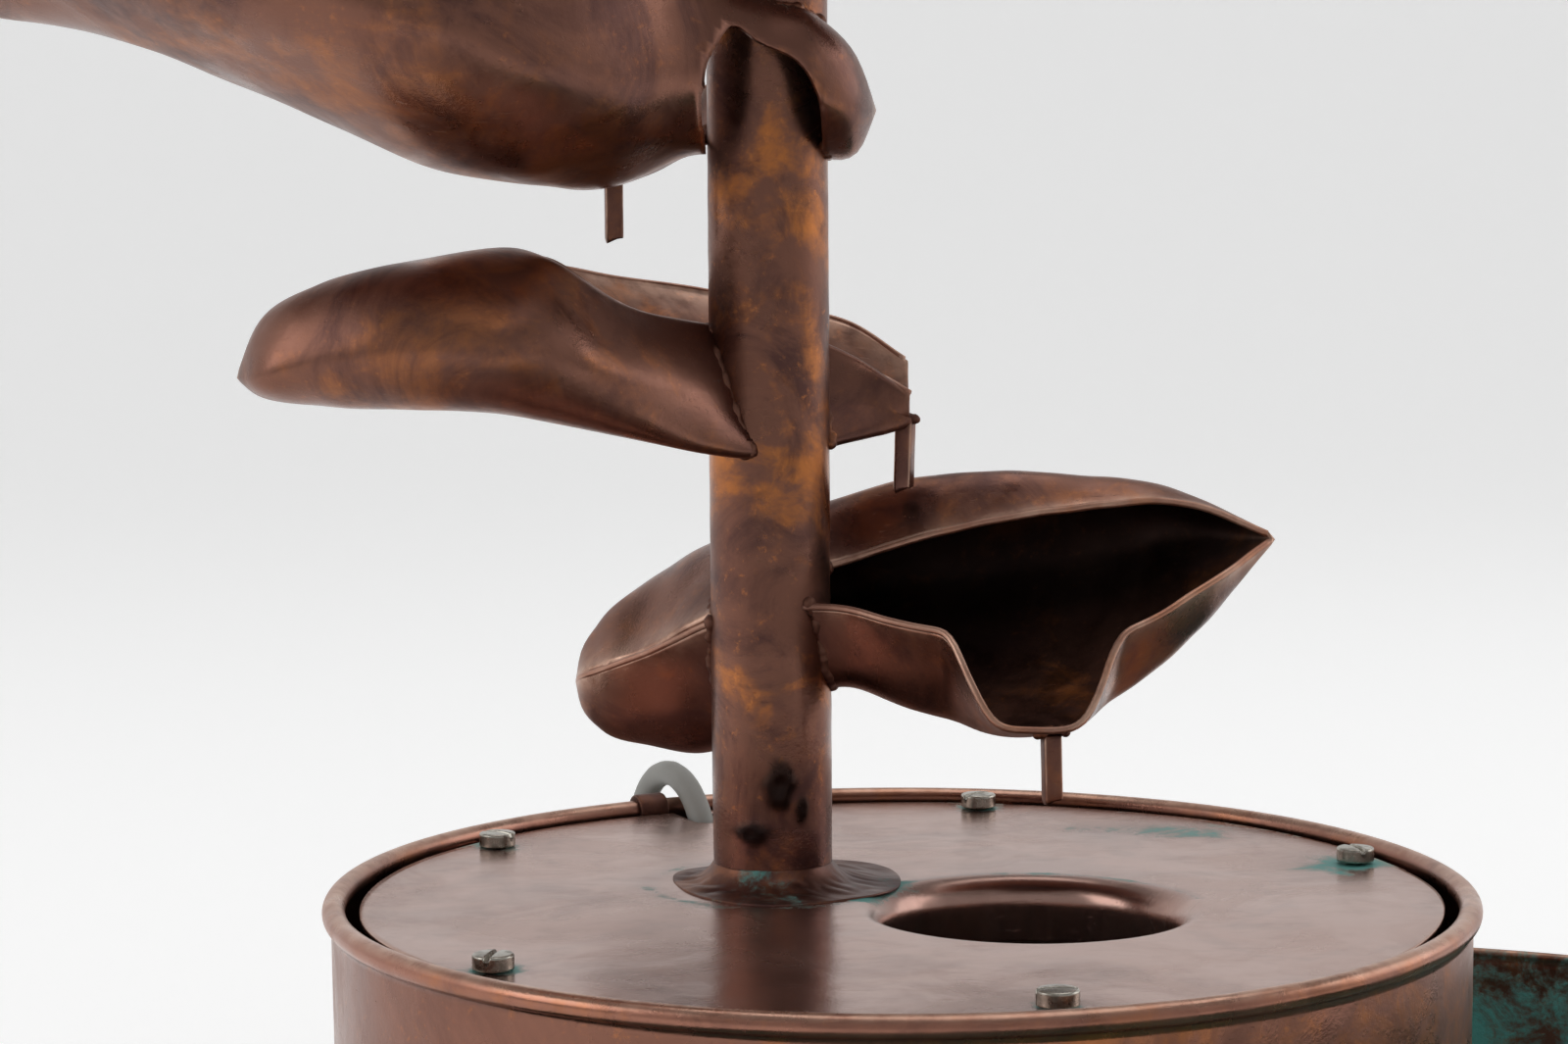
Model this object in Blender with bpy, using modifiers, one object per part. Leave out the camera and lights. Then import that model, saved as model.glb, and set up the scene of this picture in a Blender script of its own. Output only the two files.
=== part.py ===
"""Tabletop water fountain: copper leaves on a pipe column, over a round drum that hides the pump.

Run with: blender --background --python part.py
Lengths are in millimetres and are turned into metres when a mesh is made. The origin is on the
drum's axis, on the underside of the tray. +Z is up and -Y faces the viewer.
"""

import math

import bmesh
import bpy
import numpy as np
from mathutils import Matrix, Vector

MM = 0.001
GAP = 0.3                      # clearance between pieces that touch
SHEET = 1.2                    # copper sheet of the drum, the lid and the leaves

# Tray
TRAY_RADIUS = 240.0
TRAY_CENTRE = (92.0, 0.0)
TRAY_HEIGHT = 42.0
TRAY_SHEET = 1.5
TRAY_RIM_RADIUS = 1.5
TRAY_STEPS = 48

# Drum
DRUM_RADIUS = 131.0            # outside of the wall
DRUM_HEIGHT = 102.2            # from the drum's foot to the centre of the rolled rim
BEAD_RADIUS = 2.65
BASE_FLANGE = 9.0
DRUM_STEPS = 48

# Lid
LID_MARGIN = 3.2               # between the lid's edge and the rolled rim
HOLE_CENTRE = (29.4, -15.0)
HOLE_RADIUS = 40.0
FLARE_BEND = 6.5               # radius of the roll between the lid and the throat
FLARE_DEPTH = 16.0
SCREW_CIRCLE = 117.0
SCREW_ANGLES = (18.0, 78.0, 147.0, 221.0, 284.0)
SCREW_HEAD_RADIUS = 4.5
SCREW_HEAD_HEIGHT = 3.6
SCREW_RADIUS = 2.4
SCREW_LENGTH = 13.0
SCREW_SLOT = 1.3
LUG_WIDTH = 14.0
LUG_REACH = 20.0
LUG_DROP = 16.0
LUG_SHEET = 1.6
NOTCH_ANGLE = 114.5
NOTCH_WIDTH = 9.0
NOTCH_DEPTH = 17.5

# Column
COLUMN_RADIUS = 14.0
COLUMN_WALL = 1.2
COLUMN_CENTRE = (-29.4, 15.0)
COLUMN_BELOW_LID = 12.0
COLUMN_HEIGHT = 396.0          # above the lid
COLLAR_RADIUS = 30.5
COLLAR_RISE = 4.0

# Hose and pump
HOSE_RADIUS = 8.0
HOSE_WALL = 2.0
PUMP_BASE = 9.3                # underside of the pump's housing above the drum's base
PUMP_SIZE = (52.0, 46.0, 42.0)
PUMP_FRONT = 8.0               # from the column's axis to the open front of the housing
PUMP_WALL = 4.0
ROTOR_RADIUS = 9.5
ROTOR_LENGTH = 30.0
VANE_RADIUS = 14.0
VANE_WIDTH = 8.0
VANE_COUNT = 6
HUB_RADIUS = 5.0
SHAFT_RADIUS = 1.5
COVER_THICKNESS = 3.5
INTAKE_RADIUS = 6.0
GRILLE_DEPTH = 19.0
GRILLE_WALL = 1.8
GRILLE_SLOTS = 5
FOAM_THICKNESS = 9.0
DIAL_RADIUS = 11.0
DIAL_THICKNESS = 3.0
BARB_HEIGHT = 18.0
BARB_FLANGE = 2.5
FOOT_RADIUS = 8.0
FOOT_INSET = (10.0, 9.0)       # of the suction feet from the housing's sides
CLAMP_WIDTH = 6.0
GLAND_LENGTH = 20.0
GLAND_FLANGE = (7.5, 2.5)      # radius and thickness

# Cord: from the gland, out of the notch in the lid, over both rims and round behind the tray
CORD_DIAMETER = 6.5
CORD_SPACING = 2.0             # in diameters, between the points of the tube
ROUTE_LID_TOP = 104.0          # the lid's height that the route is drawn for
CORD_ROUTE = (
    (-94.7, 15.0, 33.0), (-98.0, 15.0, 33.0), (-108.0, 17.7, 33.1), (-115.3, 25.0, 33.4),
    (-118.0, 35.0, 33.9), (-115.3, 45.0, 34.7), (-108.0, 52.3, 35.6), (-94.0, 63.5, 42.3),
    (-81.0, 73.8, 49.8), (-68.0, 84.2, 57.9), (-53.5, 95.7, 68.0), (-49.0, 99.3, 75.0),
    (-46.2, 101.5, 88.0), (-47.6, 104.4, 100.0), (-51.2, 112.4, 108.8), (-56.2, 123.3, 112.0),
    (-61.2, 134.2, 108.8), (-64.8, 142.2, 100.0), (-66.1, 145.1, 88.0), (-66.1, 145.1, 71.8),
    (-67.6, 148.3, 58.8), (-71.5, 157.0, 49.3), (-76.9, 168.8, 45.8), (-82.7, 181.5, 43.4),
    (-86.4, 189.7, 36.5), (-88.7, 194.7, 25.2), (-91.0, 199.7, 13.9), (-94.7, 207.8, 7.0),
    (-99.3, 217.8, 4.2), (-103.6, 227.5, 3.6), (-107.0, 237.5, 3.6), (-109.6, 249.0, 3.6),
    (-110.7, 262.0, 3.6), (-110.8, 276.3, 3.6),
)
COIL_CENTRE = (-70.0, 300.0)
COIL_RADIUS = 34.0             # at the middle of the turns
COIL_PITCH = 6.8               # between turns that lie side by side
COIL_COLUMNS = 3
COIL_LAYERS = 2
COIL_CLEARANCE = 0.15          # round the outermost turns
CLIP_WIDTH = 8.0
CLIP_TURN = 4.0                # degrees on from the notch
CLIP_SHEET = 1.0
FLOOR_CLEARANCE = 0.2
TAIL_LENGTH = 10.0             # between the coil's solid and the plug
PLUG_LENGTH = 32.0
PLUG_WIDTH = 26.0
PLUG_HEIGHT = 14.0
PLUG_PIN_RADIUS = 2.0
PLUG_PIN_LENGTH = 19.0
PLUG_PIN_PITCH = 18.6

# Leaves. Each station is a slice across a leaf: its place along the leaf, then (across, up) of its
# open rim, keel, belly, crest and hood edge, from the column's axis and the lid's top face.
LOW_LEAF = (
    (-46, (31, 43), (31, 43), (31, 43), (31, 43), (31, 43)),
    (-41, (21, 48), (29, 34), (39, 45), (32, 55), (21, 48)),
    (-29, (9, 54), (23, 30.5), (45, 48), (32, 67), (9, 54)),
    (-15, (-1, 62), (18, 30), (47, 51), (29, 76), (-1, 62)),
    (0, (-9, 66), (9, 39), (46, 56), (25, 82.5), (-5, 71)),
    (15, (-13, 67), (-1, 48), (43, 61), (23, 87.5), (5, 75)),
    (34, (-24, 64), (-5, 42.8), (39, 65), (21, 92.5), (7, 80)),
    (59, (-33, 62), (-9, 39.5), (34, 68), (19, 94), (6, 85.5)),
    (79, (-29, 63), (-7, 46), (27, 72), (16, 93), (5, 88)),
    (99, (-17, 72), (-5, 62), (16, 78), (11, 89), (4, 88)),
    (117, (0, 81), (0, 81), (0, 81), (0, 81), (0, 81)),
)
MIDDLE_LEAF = (
    (-119, (-26, 122), (-26, 122), (-26, 122), (-26, 122), (-26, 122)),
    (-114, (-17, 128), (-26, 119), (-36, 122), (-27, 133), (-17, 128)),
    (-100, (-8, 136), (-30, 117), (-45, 126), (-30, 142), (-8, 136)),
    (-78, (0, 142), (-32, 116.5), (-52, 129), (-30, 147), (0, 142)),
    (-58, (8, 145), (-30, 115), (-50, 128), (-26, 149), (-4, 147)),
    (-50, (18, 145), (-28, 113.5), (-46, 127), (-30, 146), (-24, 146.5)),
    (-36, (26, 142), (-24, 110.5), (-38, 122), (-22, 137), (-20, 137.5)),
    (-15, (32, 138.5), (-16, 105.5), (-18, 116), (-4, 130.5), (-2, 130)),
    (5, (34, 134), (-5, 104), (2, 112), (12, 128), (14, 128)),
    (20, (30, 130), (4, 106.5), (8, 112), (14, 122), (16, 121)),
    (33, (22, 122), (12, 109), (9, 110), (8, 113), (9, 114.5)),
)
HIGH_LEAF = (
    (24, (-1, 181), (-1, 181), (-1, 181), (-1, 181), (-1, 181)),
    (20, (7, 183), (-1, 172.5), (-12, 181), (-5, 192), (7, 183)),
    (11, (17, 186), (1, 171.5), (-20, 183), (-7, 201), (17, 186)),
    (-1, (23, 188), (-1, 171), (-24, 185), (-11, 207), (9, 204)),
    (-16, (25, 188), (-10, 172), (-31, 188), (-17, 214), (-3, 214)),
    (-37, (23, 186), (-20, 166), (-49, 186), (-33, 222), (-21, 222)),
    (-71, (25, 196), (-23, 168.5), (-67, 196), (-49, 232), (-37, 232)),
    (-111, (21, 208), (-17, 185), (-63, 208), (-51, 240), (-41, 240)),
    (-151, (15, 216), (-7, 200.5), (-43, 216), (-39, 238), (-31, 239)),
    (-186, (9, 220), (1, 207), (-15, 218), (-19, 230), (-15, 231)),
    (-216, (3, 218), (3, 218), (3, 218), (3, 218), (3, 218)),
)
SECTION_KEYS = (0.0, 0.25, 0.52, 0.82, 1.0)
# Each spout: its place along the leaf, the (across, up) of its lip, and its half width
LOW_SPOUT = (62.0, (-39.0, 42.0), 15.0)
HIGH_SPOUT = (-34.0, (10.0, 167.5), 15.0)
# Each leaf: stations, spout, turn about the column in degrees, size, lift of the lowest station,
# and its drip pin's place (along, across) and how far the pin's foot leans along
LEAVES = (
    (LOW_LEAF, LOW_SPOUT, 0.0, 1.0, 0.0, (62.5, -35.0), 1.5),
    (MIDDLE_LEAF, None, 0.0, 1.0, 0.0, (30.0, 11.0), 3.5),
    (HIGH_LEAF, HIGH_SPOUT, 0.0, 1.0, 0.0, (-36.0, 6.0), 0.0),
    (MIDDLE_LEAF, None, 176.0, 1.12, 140.0, (30.0, 11.0), 2.0),
    (LOW_LEAF, LOW_SPOUT, 31.0, 0.8, 266.0, (62.5, -35.0), 0.0),
    (MIDDLE_LEAF, None, -8.0, 0.8, 252.0, (30.0, 11.0), 1.0),
)
# The arch cut from the near wall of the third leaf, (along, up), where that wall bridges the column
ARCH_LEAF = 3
ARCH = ((-17.0, 160.0), (-17.0, 198.0), (-12.0, 201.5), (-2.0, 196.0), (7.0, 191.5),
        (11.0, 185.0), (12.5, 176.0), (12.5, 160.0))
ARCH_DEPTH = 70.0
LEAF_ALONG = 15
LEAF_ACROSS = 9
PIN_SIDE = 4.5
PIN_LENGTH = 14.0

# Heights and radii that follow from the sizes above
DRUM_FOOT = TRAY_SHEET + GAP
LID_TOP = DRUM_FOOT + DRUM_HEIGHT
WALL_INSIDE = (DRUM_RADIUS - SHEET) * math.cos(math.pi / DRUM_STEPS) - GAP
BEAD_CENTRE = DRUM_RADIUS - SHEET / 2
LID_RADIUS = BEAD_CENTRE - BEAD_RADIUS - LID_MARGIN
BASE_TOP = DRUM_FOOT + SHEET
LUG_TOP = LID_TOP - SHEET - GAP
PUMP_BOTTOM = BASE_TOP + PUMP_BASE - GAP
ROTOR_AXIS = PUMP_BOTTOM + PUMP_SIZE[2] / 2
PUMP_TOP = PUMP_BOTTOM + PUMP_SIZE[2]
HOSE_BORE = HOSE_RADIUS - HOSE_WALL
THROAT_RADIUS = HOLE_RADIUS - FLARE_BEND


# ---- helpers -------------------------------------------------------------------------------

def clear_scene():
    for obj in list(bpy.data.objects):
        bpy.data.objects.remove(obj, do_unlink=True)


def make_collection(name):
    made = bpy.data.collections.new(name)
    bpy.context.scene.collection.children.link(made)
    return made


def material(name, colour, roughness, metallic):
    made = bpy.data.materials.new(name)
    made.use_nodes = True
    made.diffuse_color = (*colour, 1.0)
    shader = made.node_tree.nodes["Principled BSDF"]
    shader.inputs["Base Color"].default_value = (*colour, 1.0)
    shader.inputs["Roughness"].default_value = roughness
    shader.inputs["Metallic"].default_value = metallic
    return made


def place(obj, skin, centre=(0, 0, 0), turn=(0, 0, 0)):
    """Puts an object in the fountain's collection, at a centre in mm, turned by degrees."""
    for old in list(obj.users_collection):
        old.objects.unlink(obj)
    PARTS.objects.link(obj)
    obj.location = [value * MM for value in centre]
    obj.rotation_euler = [math.radians(value) for value in turn]
    obj.data.materials.clear()
    obj.data.materials.append(skin)
    return obj


def as_cutter(obj):
    for old in list(obj.users_collection):
        old.objects.unlink(obj)
    CUTTERS.objects.link(obj)
    obj.hide_render = True
    obj.display_type = "WIRE"
    return obj


def cut(obj, cutter, operation="DIFFERENCE"):
    step = obj.modifiers.new(operation.title() + " " + cutter.name, "BOOLEAN")
    step.operation = operation
    step.solver = "EXACT"
    step.object = cutter
    return obj


def mesh_object(name, points, edges, faces):
    mesh = bpy.data.meshes.new(name)
    mesh.from_pydata(points, edges, faces)
    return bpy.data.objects.new(name, mesh)


def turned(name, profile, skin, centre=(0, 0, 0), turn=(0, 0, 0), steps=24, ring=False):
    """A turned solid. The profile is (radius, height) in mm and runs down its outer side."""
    points = [(radius * MM, 0.0, height * MM) for radius, height in profile]
    edges = [(index, index + 1) for index in range(len(points) - 1)]
    if ring:
        edges.append((len(points) - 1, 0))
    obj = mesh_object(name, points, edges, [])
    screw = obj.modifiers.new("Turn", "SCREW")
    screw.steps = steps
    screw.render_steps = steps
    screw.use_merge_vertices = True
    screw.merge_threshold = 0.00005
    screw.use_smooth_shade = True
    return place(obj, skin, centre, turn)


def ring(name, outer, inner, low, high, skin, centre=(0, 0, 0), turn=(0, 0, 0), steps=24):
    profile = ((outer, high), (outer, low), (inner, low), (inner, high))
    return turned(name, profile, skin, centre, turn, steps, ring=True)


def rod(name, radius, low, high, skin, centre=(0, 0, 0), turn=(0, 0, 0), steps=24):
    profile = ((0.0, high), (radius, high), (radius, low), (0.0, low))
    return turned(name, profile, skin, centre, turn, steps)


def block(name, size, centre, skin, turn=(0, 0, 0), rounding=0.0):
    bpy.ops.mesh.primitive_cube_add(size=1.0)
    obj = bpy.context.active_object
    obj.name = name
    obj.data.name = name
    obj.data.transform(Matrix.Diagonal([value * MM for value in size]).to_4x4())
    place(obj, skin, centre, turn)
    if rounding:
        bevel = obj.modifiers.new("Round", "BEVEL")
        bevel.width = rounding * MM
        bevel.segments = 2
    return obj


def outline(name, loops, thickness, skin, centre=(0, 0, 0), turn=(0, 0, 0)):
    """A flat sheet of the given loops of (x, y), the first outside and the rest holes."""
    curve = bpy.data.curves.new(name, "CURVE")
    curve.dimensions = "2D"
    curve.fill_mode = "BOTH"
    curve.extrude = thickness * MM / 2
    for loop in loops:
        line = curve.splines.new("POLY")
        line.points.add(len(loop) - 1)
        for point, (x, y) in zip(line.points, loop):
            point.co = (x * MM, y * MM, 0.0, 1.0)
        line.use_cyclic_u = True
    return place(bpy.data.objects.new(name, curve), skin, centre, turn)


def to_mesh(obj):
    """Turns a curve object into a mesh object of the same name and place, with welded caps."""
    bpy.context.view_layer.update()
    evaluated = obj.evaluated_get(bpy.context.evaluated_depsgraph_get())
    mesh = bpy.data.meshes.new_from_object(evaluated)
    shape = bmesh.new()
    shape.from_mesh(mesh)
    bmesh.ops.remove_doubles(shape, verts=shape.verts, dist=1e-6)
    shape.to_mesh(mesh)
    shape.free()
    name, skin, matrix = obj.name, obj.data.materials[0], obj.matrix_world.copy()
    bpy.data.objects.remove(obj, do_unlink=True)
    made = bpy.data.objects.new(name, mesh)
    place(made, skin)
    made.matrix_world = matrix
    return made


def tube(name, points, radius, skin, resolution=2):
    curve = bpy.data.curves.new(name, "CURVE")
    curve.dimensions = "3D"
    curve.bevel_depth = radius * MM
    curve.bevel_resolution = resolution
    curve.use_fill_caps = True
    line = curve.splines.new("POLY")
    line.points.add(len(points) - 1)
    for point, co in zip(line.points, points):
        point.co = (co[0] * MM, co[1] * MM, co[2] * MM, 1.0)
    return place(bpy.data.objects.new(name, curve), skin)


def circle(radius, centre=(0.0, 0.0), count=24):
    turns = [2 * math.pi * index / count for index in range(count)]
    return [(centre[0] + radius * math.cos(a), centre[1] + radius * math.sin(a)) for a in turns]


def polar(radius, degrees):
    angle = math.radians(degrees)
    return radius * math.cos(angle), radius * math.sin(angle)


def arc(centre, radius, start, end, count):
    """Points round a centre from one angle to another, in degrees."""
    found = []
    for index in range(count + 1):
        x, y = polar(radius, start + (end - start) * index / count)
        found.append((centre[0] + x, centre[1] + y))
    return found


def smooth_through(keys, values, at):
    """A smooth curve through the values at the keys, read at the places in at.

    It is a cubic between each two keys, with each key's slope taken from its neighbours.
    """
    keys = np.asarray(keys, float)
    values = np.asarray(values, float)
    shape = (-1,) + (1,) * (values.ndim - 1)
    steps = np.diff(keys)
    chords = np.diff(values, axis=0) / steps.reshape(shape)
    before = steps[:-1].reshape(shape)
    after = steps[1:].reshape(shape)
    middle = (chords[:-1] * after + chords[1:] * before) / (before + after)
    slopes = np.concatenate([chords[:1], middle, chords[-1:]])
    place_in = np.clip(np.searchsorted(keys, at, side="right") - 1, 0, len(keys) - 2)
    step = steps[place_in].reshape(shape)
    t = ((np.asarray(at, float) - keys[place_in]) / steps[place_in]).reshape(shape)
    low, high = values[place_in], values[place_in + 1]
    blend_low = 2 * t**3 - 3 * t**2 + 1
    blend_high = 3 * t**2 - 2 * t**3
    slope_low = (t**3 - 2 * t**2 + t) * step * slopes[place_in]
    slope_high = (t**3 - t**2) * step * slopes[place_in + 1]
    return blend_low * low + blend_high * high + slope_low + slope_high


# ---- base, drum and lid --------------------------------------------------------------------

def make_tray():
    floor = TRAY_SHEET
    bead = (TRAY_RADIUS - TRAY_RIM_RADIUS, TRAY_HEIGHT - TRAY_RIM_RADIUS)
    wall = TRAY_RADIUS - TRAY_RIM_RADIUS
    profile = [(0.0, floor), (wall - 10.0, floor), (wall - 3.0, floor + 3.0)]
    profile += [(wall - TRAY_SHEET, TRAY_HEIGHT - 3 * TRAY_RIM_RADIUS)]
    profile += arc(bead, TRAY_RIM_RADIUS, 180.0, -60.0, 4)
    profile += [(wall, TRAY_HEIGHT - 3 * TRAY_RIM_RADIUS), (wall - 1.5, 2.5)]
    profile += [(wall - 9.0, 0.0), (0.0, 0.0)]
    turned("tray", profile, COPPER, (*TRAY_CENTRE, 0.0), steps=TRAY_STEPS)


def make_drum():
    inside = DRUM_RADIUS - SHEET
    centre = (BEAD_CENTRE, LID_TOP)
    lean = math.degrees(math.acos(SHEET / 2 / BEAD_RADIUS))
    profile = arc(centre, BEAD_RADIUS, 90.0, -lean, 4)
    profile += [(DRUM_RADIUS, DRUM_FOOT), (inside, DRUM_FOOT)]
    profile += arc(centre, BEAD_RADIUS, lean - 180.0, -228.0, 3)
    turned("drum_wall", profile, COPPER, steps=DRUM_STEPS, ring=True)
    flange = WALL_INSIDE - SHEET
    top = BASE_TOP + BASE_FLANGE
    profile = ((0.0, BASE_TOP), (flange, BASE_TOP), (flange, top), (WALL_INSIDE, top))
    profile += ((WALL_INSIDE, DRUM_FOOT), (0.0, DRUM_FOOT))
    turned("drum_base", profile, COPPER, steps=DRUM_STEPS)


def make_lugs():
    """Five bent lugs under the rolled rim, each with a hole for a lid screw."""
    foot = WALL_INSIDE - 0.4
    top = LUG_TOP
    throat = BEAD_CENTRE - BEAD_RADIUS - 0.6
    low = LID_TOP - BEAD_RADIUS - 1.2
    side = ((WALL_INSIDE - LUG_REACH, top), (throat, top), (throat, low), (foot, low))
    side += ((foot, low - LUG_DROP), (foot - LUG_SHEET, low - LUG_DROP))
    side += ((foot - LUG_SHEET, low - LUG_SHEET),)
    side += ((throat - LUG_SHEET, low - LUG_SHEET), (throat - LUG_SHEET, top - LUG_SHEET))
    side += ((WALL_INSIDE - LUG_REACH, top - LUG_SHEET),)
    for index, angle in enumerate(SCREW_ANGLES, 1):
        lug = outline(f"lid_lug_{index}", [side], LUG_WIDTH, COPPER, turn=(90.0, 0.0, angle))
        lug = to_mesh(lug)
        drill = rod(f"cut_lug_{index}", SCREW_RADIUS + GAP, top - 5.0, top + 5.0, COPPER,
                    (*polar(SCREW_CIRCLE, angle), 0.0), steps=16)
        cut(lug, as_cutter(drill))


def lid_outline():
    """The lid's edge, with the slot for the cord cut in from it."""
    half = math.degrees(NOTCH_WIDTH / 2 / LID_RADIUS)
    edge = arc((0.0, 0.0), LID_RADIUS, NOTCH_ANGLE + half, NOTCH_ANGLE + 360.0 - half, 64)
    along = Vector(polar(1.0, NOTCH_ANGLE))
    across = Vector((-along.y, along.x))
    centre = along * (LID_RADIUS - NOTCH_DEPTH + NOTCH_WIDTH / 2)
    for step in range(7):
        angle = math.pi * step / 6
        point = centre - NOTCH_WIDTH / 2 * (across * math.cos(angle) + along * math.sin(angle))
        edge.append((point.x, point.y))
    return edge


def make_lid():
    loops = [lid_outline(), circle(HOLE_RADIUS + GAP, HOLE_CENTRE, 32)]
    loops.append(circle(COLUMN_RADIUS + GAP + 0.1, COLUMN_CENTRE, 24))
    for angle in SCREW_ANGLES:
        loops.append(circle(SCREW_RADIUS + GAP, polar(SCREW_CIRCLE, angle), 12))
    outline("lid", loops, SHEET, LID_COPPER, (0.0, 0.0, LID_TOP - SHEET / 2))
    make_drain_collar()
    profile = ((COLUMN_RADIUS + GAP, COLLAR_RISE), (COLUMN_RADIUS + 3.0, COLLAR_RISE * 0.8))
    profile += ((COLLAR_RADIUS - 6.0, 1.4), (COLLAR_RADIUS, 0.9), (COLLAR_RADIUS, 0.0))
    profile += ((COLUMN_RADIUS + GAP, 0.0),)
    turned("column_foot", profile, COPPER, (*COLUMN_CENTRE, LID_TOP + GAP), steps=24, ring=True)


def make_drain_collar():
    """The rolled-down mouth through which the water falls back into the drum."""
    upper = arc((HOLE_RADIUS, -FLARE_BEND), FLARE_BEND, 90.0, 180.0, 4)
    lower = arc((HOLE_RADIUS, -FLARE_BEND), FLARE_BEND - SHEET, 180.0, 90.0, 3)
    profile = lower + upper
    profile.insert(0, (THROAT_RADIUS + SHEET, -FLARE_DEPTH))
    profile.append((THROAT_RADIUS, -FLARE_DEPTH))
    turned("drain_collar", profile[::-1], LID_COPPER, (*HOLE_CENTRE, LID_TOP), steps=32, ring=True)


def make_screws():
    for index, angle in enumerate(SCREW_ANGLES, 1):
        profile = ((0.0, SCREW_HEAD_HEIGHT), (SCREW_HEAD_RADIUS - 0.5, SCREW_HEAD_HEIGHT))
        profile += ((SCREW_HEAD_RADIUS, SCREW_HEAD_HEIGHT - 0.5), (SCREW_HEAD_RADIUS, 0.0))
        profile += ((SCREW_RADIUS, 0.0), (SCREW_RADIUS, -SCREW_LENGTH), (0.0, -SCREW_LENGTH))
        centre = (*polar(SCREW_CIRCLE, angle), LID_TOP + GAP)
        screw = turned(f"lid_screw_{index}", profile, SCREW_METAL, centre, steps=12)
        slot = block(f"cut_slot_{index}", (2.5 * SCREW_HEAD_RADIUS, SCREW_SLOT, 3.0),
                     (centre[0], centre[1], centre[2] + SCREW_HEAD_HEIGHT), SCREW_METAL, (0, 0, angle * 1.7))
        cut(screw, as_cutter(slot))


# ---- column and leaves ---------------------------------------------------------------------

def make_column():
    low, high = LID_TOP - COLUMN_BELOW_LID, LID_TOP + COLUMN_HEIGHT
    inside = COLUMN_RADIUS - COLUMN_WALL
    ring("column_tube", COLUMN_RADIUS, inside, low, high, COPPER, (*COLUMN_CENTRE, 0.0), steps=28)
    ring("hose_bush", inside - GAP - 0.1, HOSE_RADIUS + GAP, high - 12.0, high - 2.0, RUBBER,
         (*COLUMN_CENTRE, 0.0), steps=24)
    cutter = rod("cut_column", COLUMN_RADIUS + GAP + 0.1, low, high + 20.0, COPPER,
                 (*COLUMN_CENTRE, 0.0), steps=28)
    return as_cutter(cutter)


def leaf_places(stations, spout):
    """The slices to read along a leaf: even steps, with more of them across the spout."""
    points = np.array([[(row[0], *pair) for pair in row[1:]] for row in stations], float)
    length = np.linalg.norm(np.diff(points.mean(axis=1), axis=0), axis=1)
    size = np.linalg.norm(np.diff(points, axis=0), axis=2).max(axis=1)
    keys = np.concatenate([[0.0], np.cumsum(np.sqrt(length * size))])
    places = np.linspace(0.0, keys[-1], LEAF_ALONG)
    if spout:
        along = points[:, 0, 0]
        order = np.argsort(along)
        centre = np.interp(spout[0], along[order], keys[order])
        extra = centre + spout[2] * np.array((-1.2, -0.8, -0.4, 0.0, 0.4, 0.8, 1.2))
        far = np.abs(places[:, None] - extra[None, :]).min(axis=1) > 0.25 * spout[2]
        places = np.sort(np.concatenate([places[far], extra]))
    return keys, points, places


def leaf_surface(stations, spout, across):
    """Points (slice, place round the slice, xyz) of a leaf's inner face, in its own frame."""
    keys, points, places = leaf_places(stations, spout)
    slices = smooth_through(keys, points, places)
    if spout:
        reach = np.exp(-np.abs((slices[:, 0, 0] - spout[0]) / spout[2]) ** 3)[:, None]
        slices[:, 0, 1:] += reach * (np.array(spout[1]) - slices[:, 0, 1:])
    rounds = np.linspace(0.0, 1.0, across)
    surface = smooth_through(SECTION_KEYS, slices.transpose(1, 0, 2), rounds)
    return surface.transpose(1, 0, 2)


def stand_leaf(points, turn, size, lift, base):
    """Scales a leaf about its column and its lowest station, turns it and lifts it."""
    points = np.asarray(points, float) * (size, size, size)
    angle = math.radians(turn)
    x = points[..., 0] * math.cos(angle) - points[..., 1] * math.sin(angle)
    y = points[..., 0] * math.sin(angle) + points[..., 1] * math.cos(angle)
    z = points[..., 2] + base * (1.0 - size) + lift
    return np.stack([x + COLUMN_CENTRE[0], y + COLUMN_CENTRE[1], z + LID_TOP], axis=-1)


def sheet_mesh(name, surface):
    """A mesh over a grid of points in mm, with coincident points merged and faces out of the trough."""
    rows, columns = surface.shape[:2]
    index = np.arange(rows * columns).reshape(rows, columns)
    corners = (index[:-1, :-1], index[1:, :-1], index[1:, 1:], index[:-1, 1:])
    faces = np.stack(corners, axis=-1).reshape(-1, 4)
    middle = surface.mean(axis=1, keepdims=True)
    across = np.cross(surface[1:, :-1] - surface[:-1, :-1], surface[:-1, 1:] - surface[:-1, :-1])
    if (across * (surface - middle)[:-1, :-1]).sum() < 0:
        faces = faces[:, ::-1]
    obj = mesh_object(name, (surface.reshape(-1, 3) * MM).tolist(), [], faces.tolist())
    shape = bmesh.new()
    shape.from_mesh(obj.data)
    bmesh.ops.remove_doubles(shape, verts=shape.verts, dist=0.1 * MM)
    bmesh.ops.dissolve_degenerate(shape, edges=shape.edges, dist=0.05 * MM)
    shape.to_mesh(obj.data)
    shape.free()
    return obj


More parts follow.
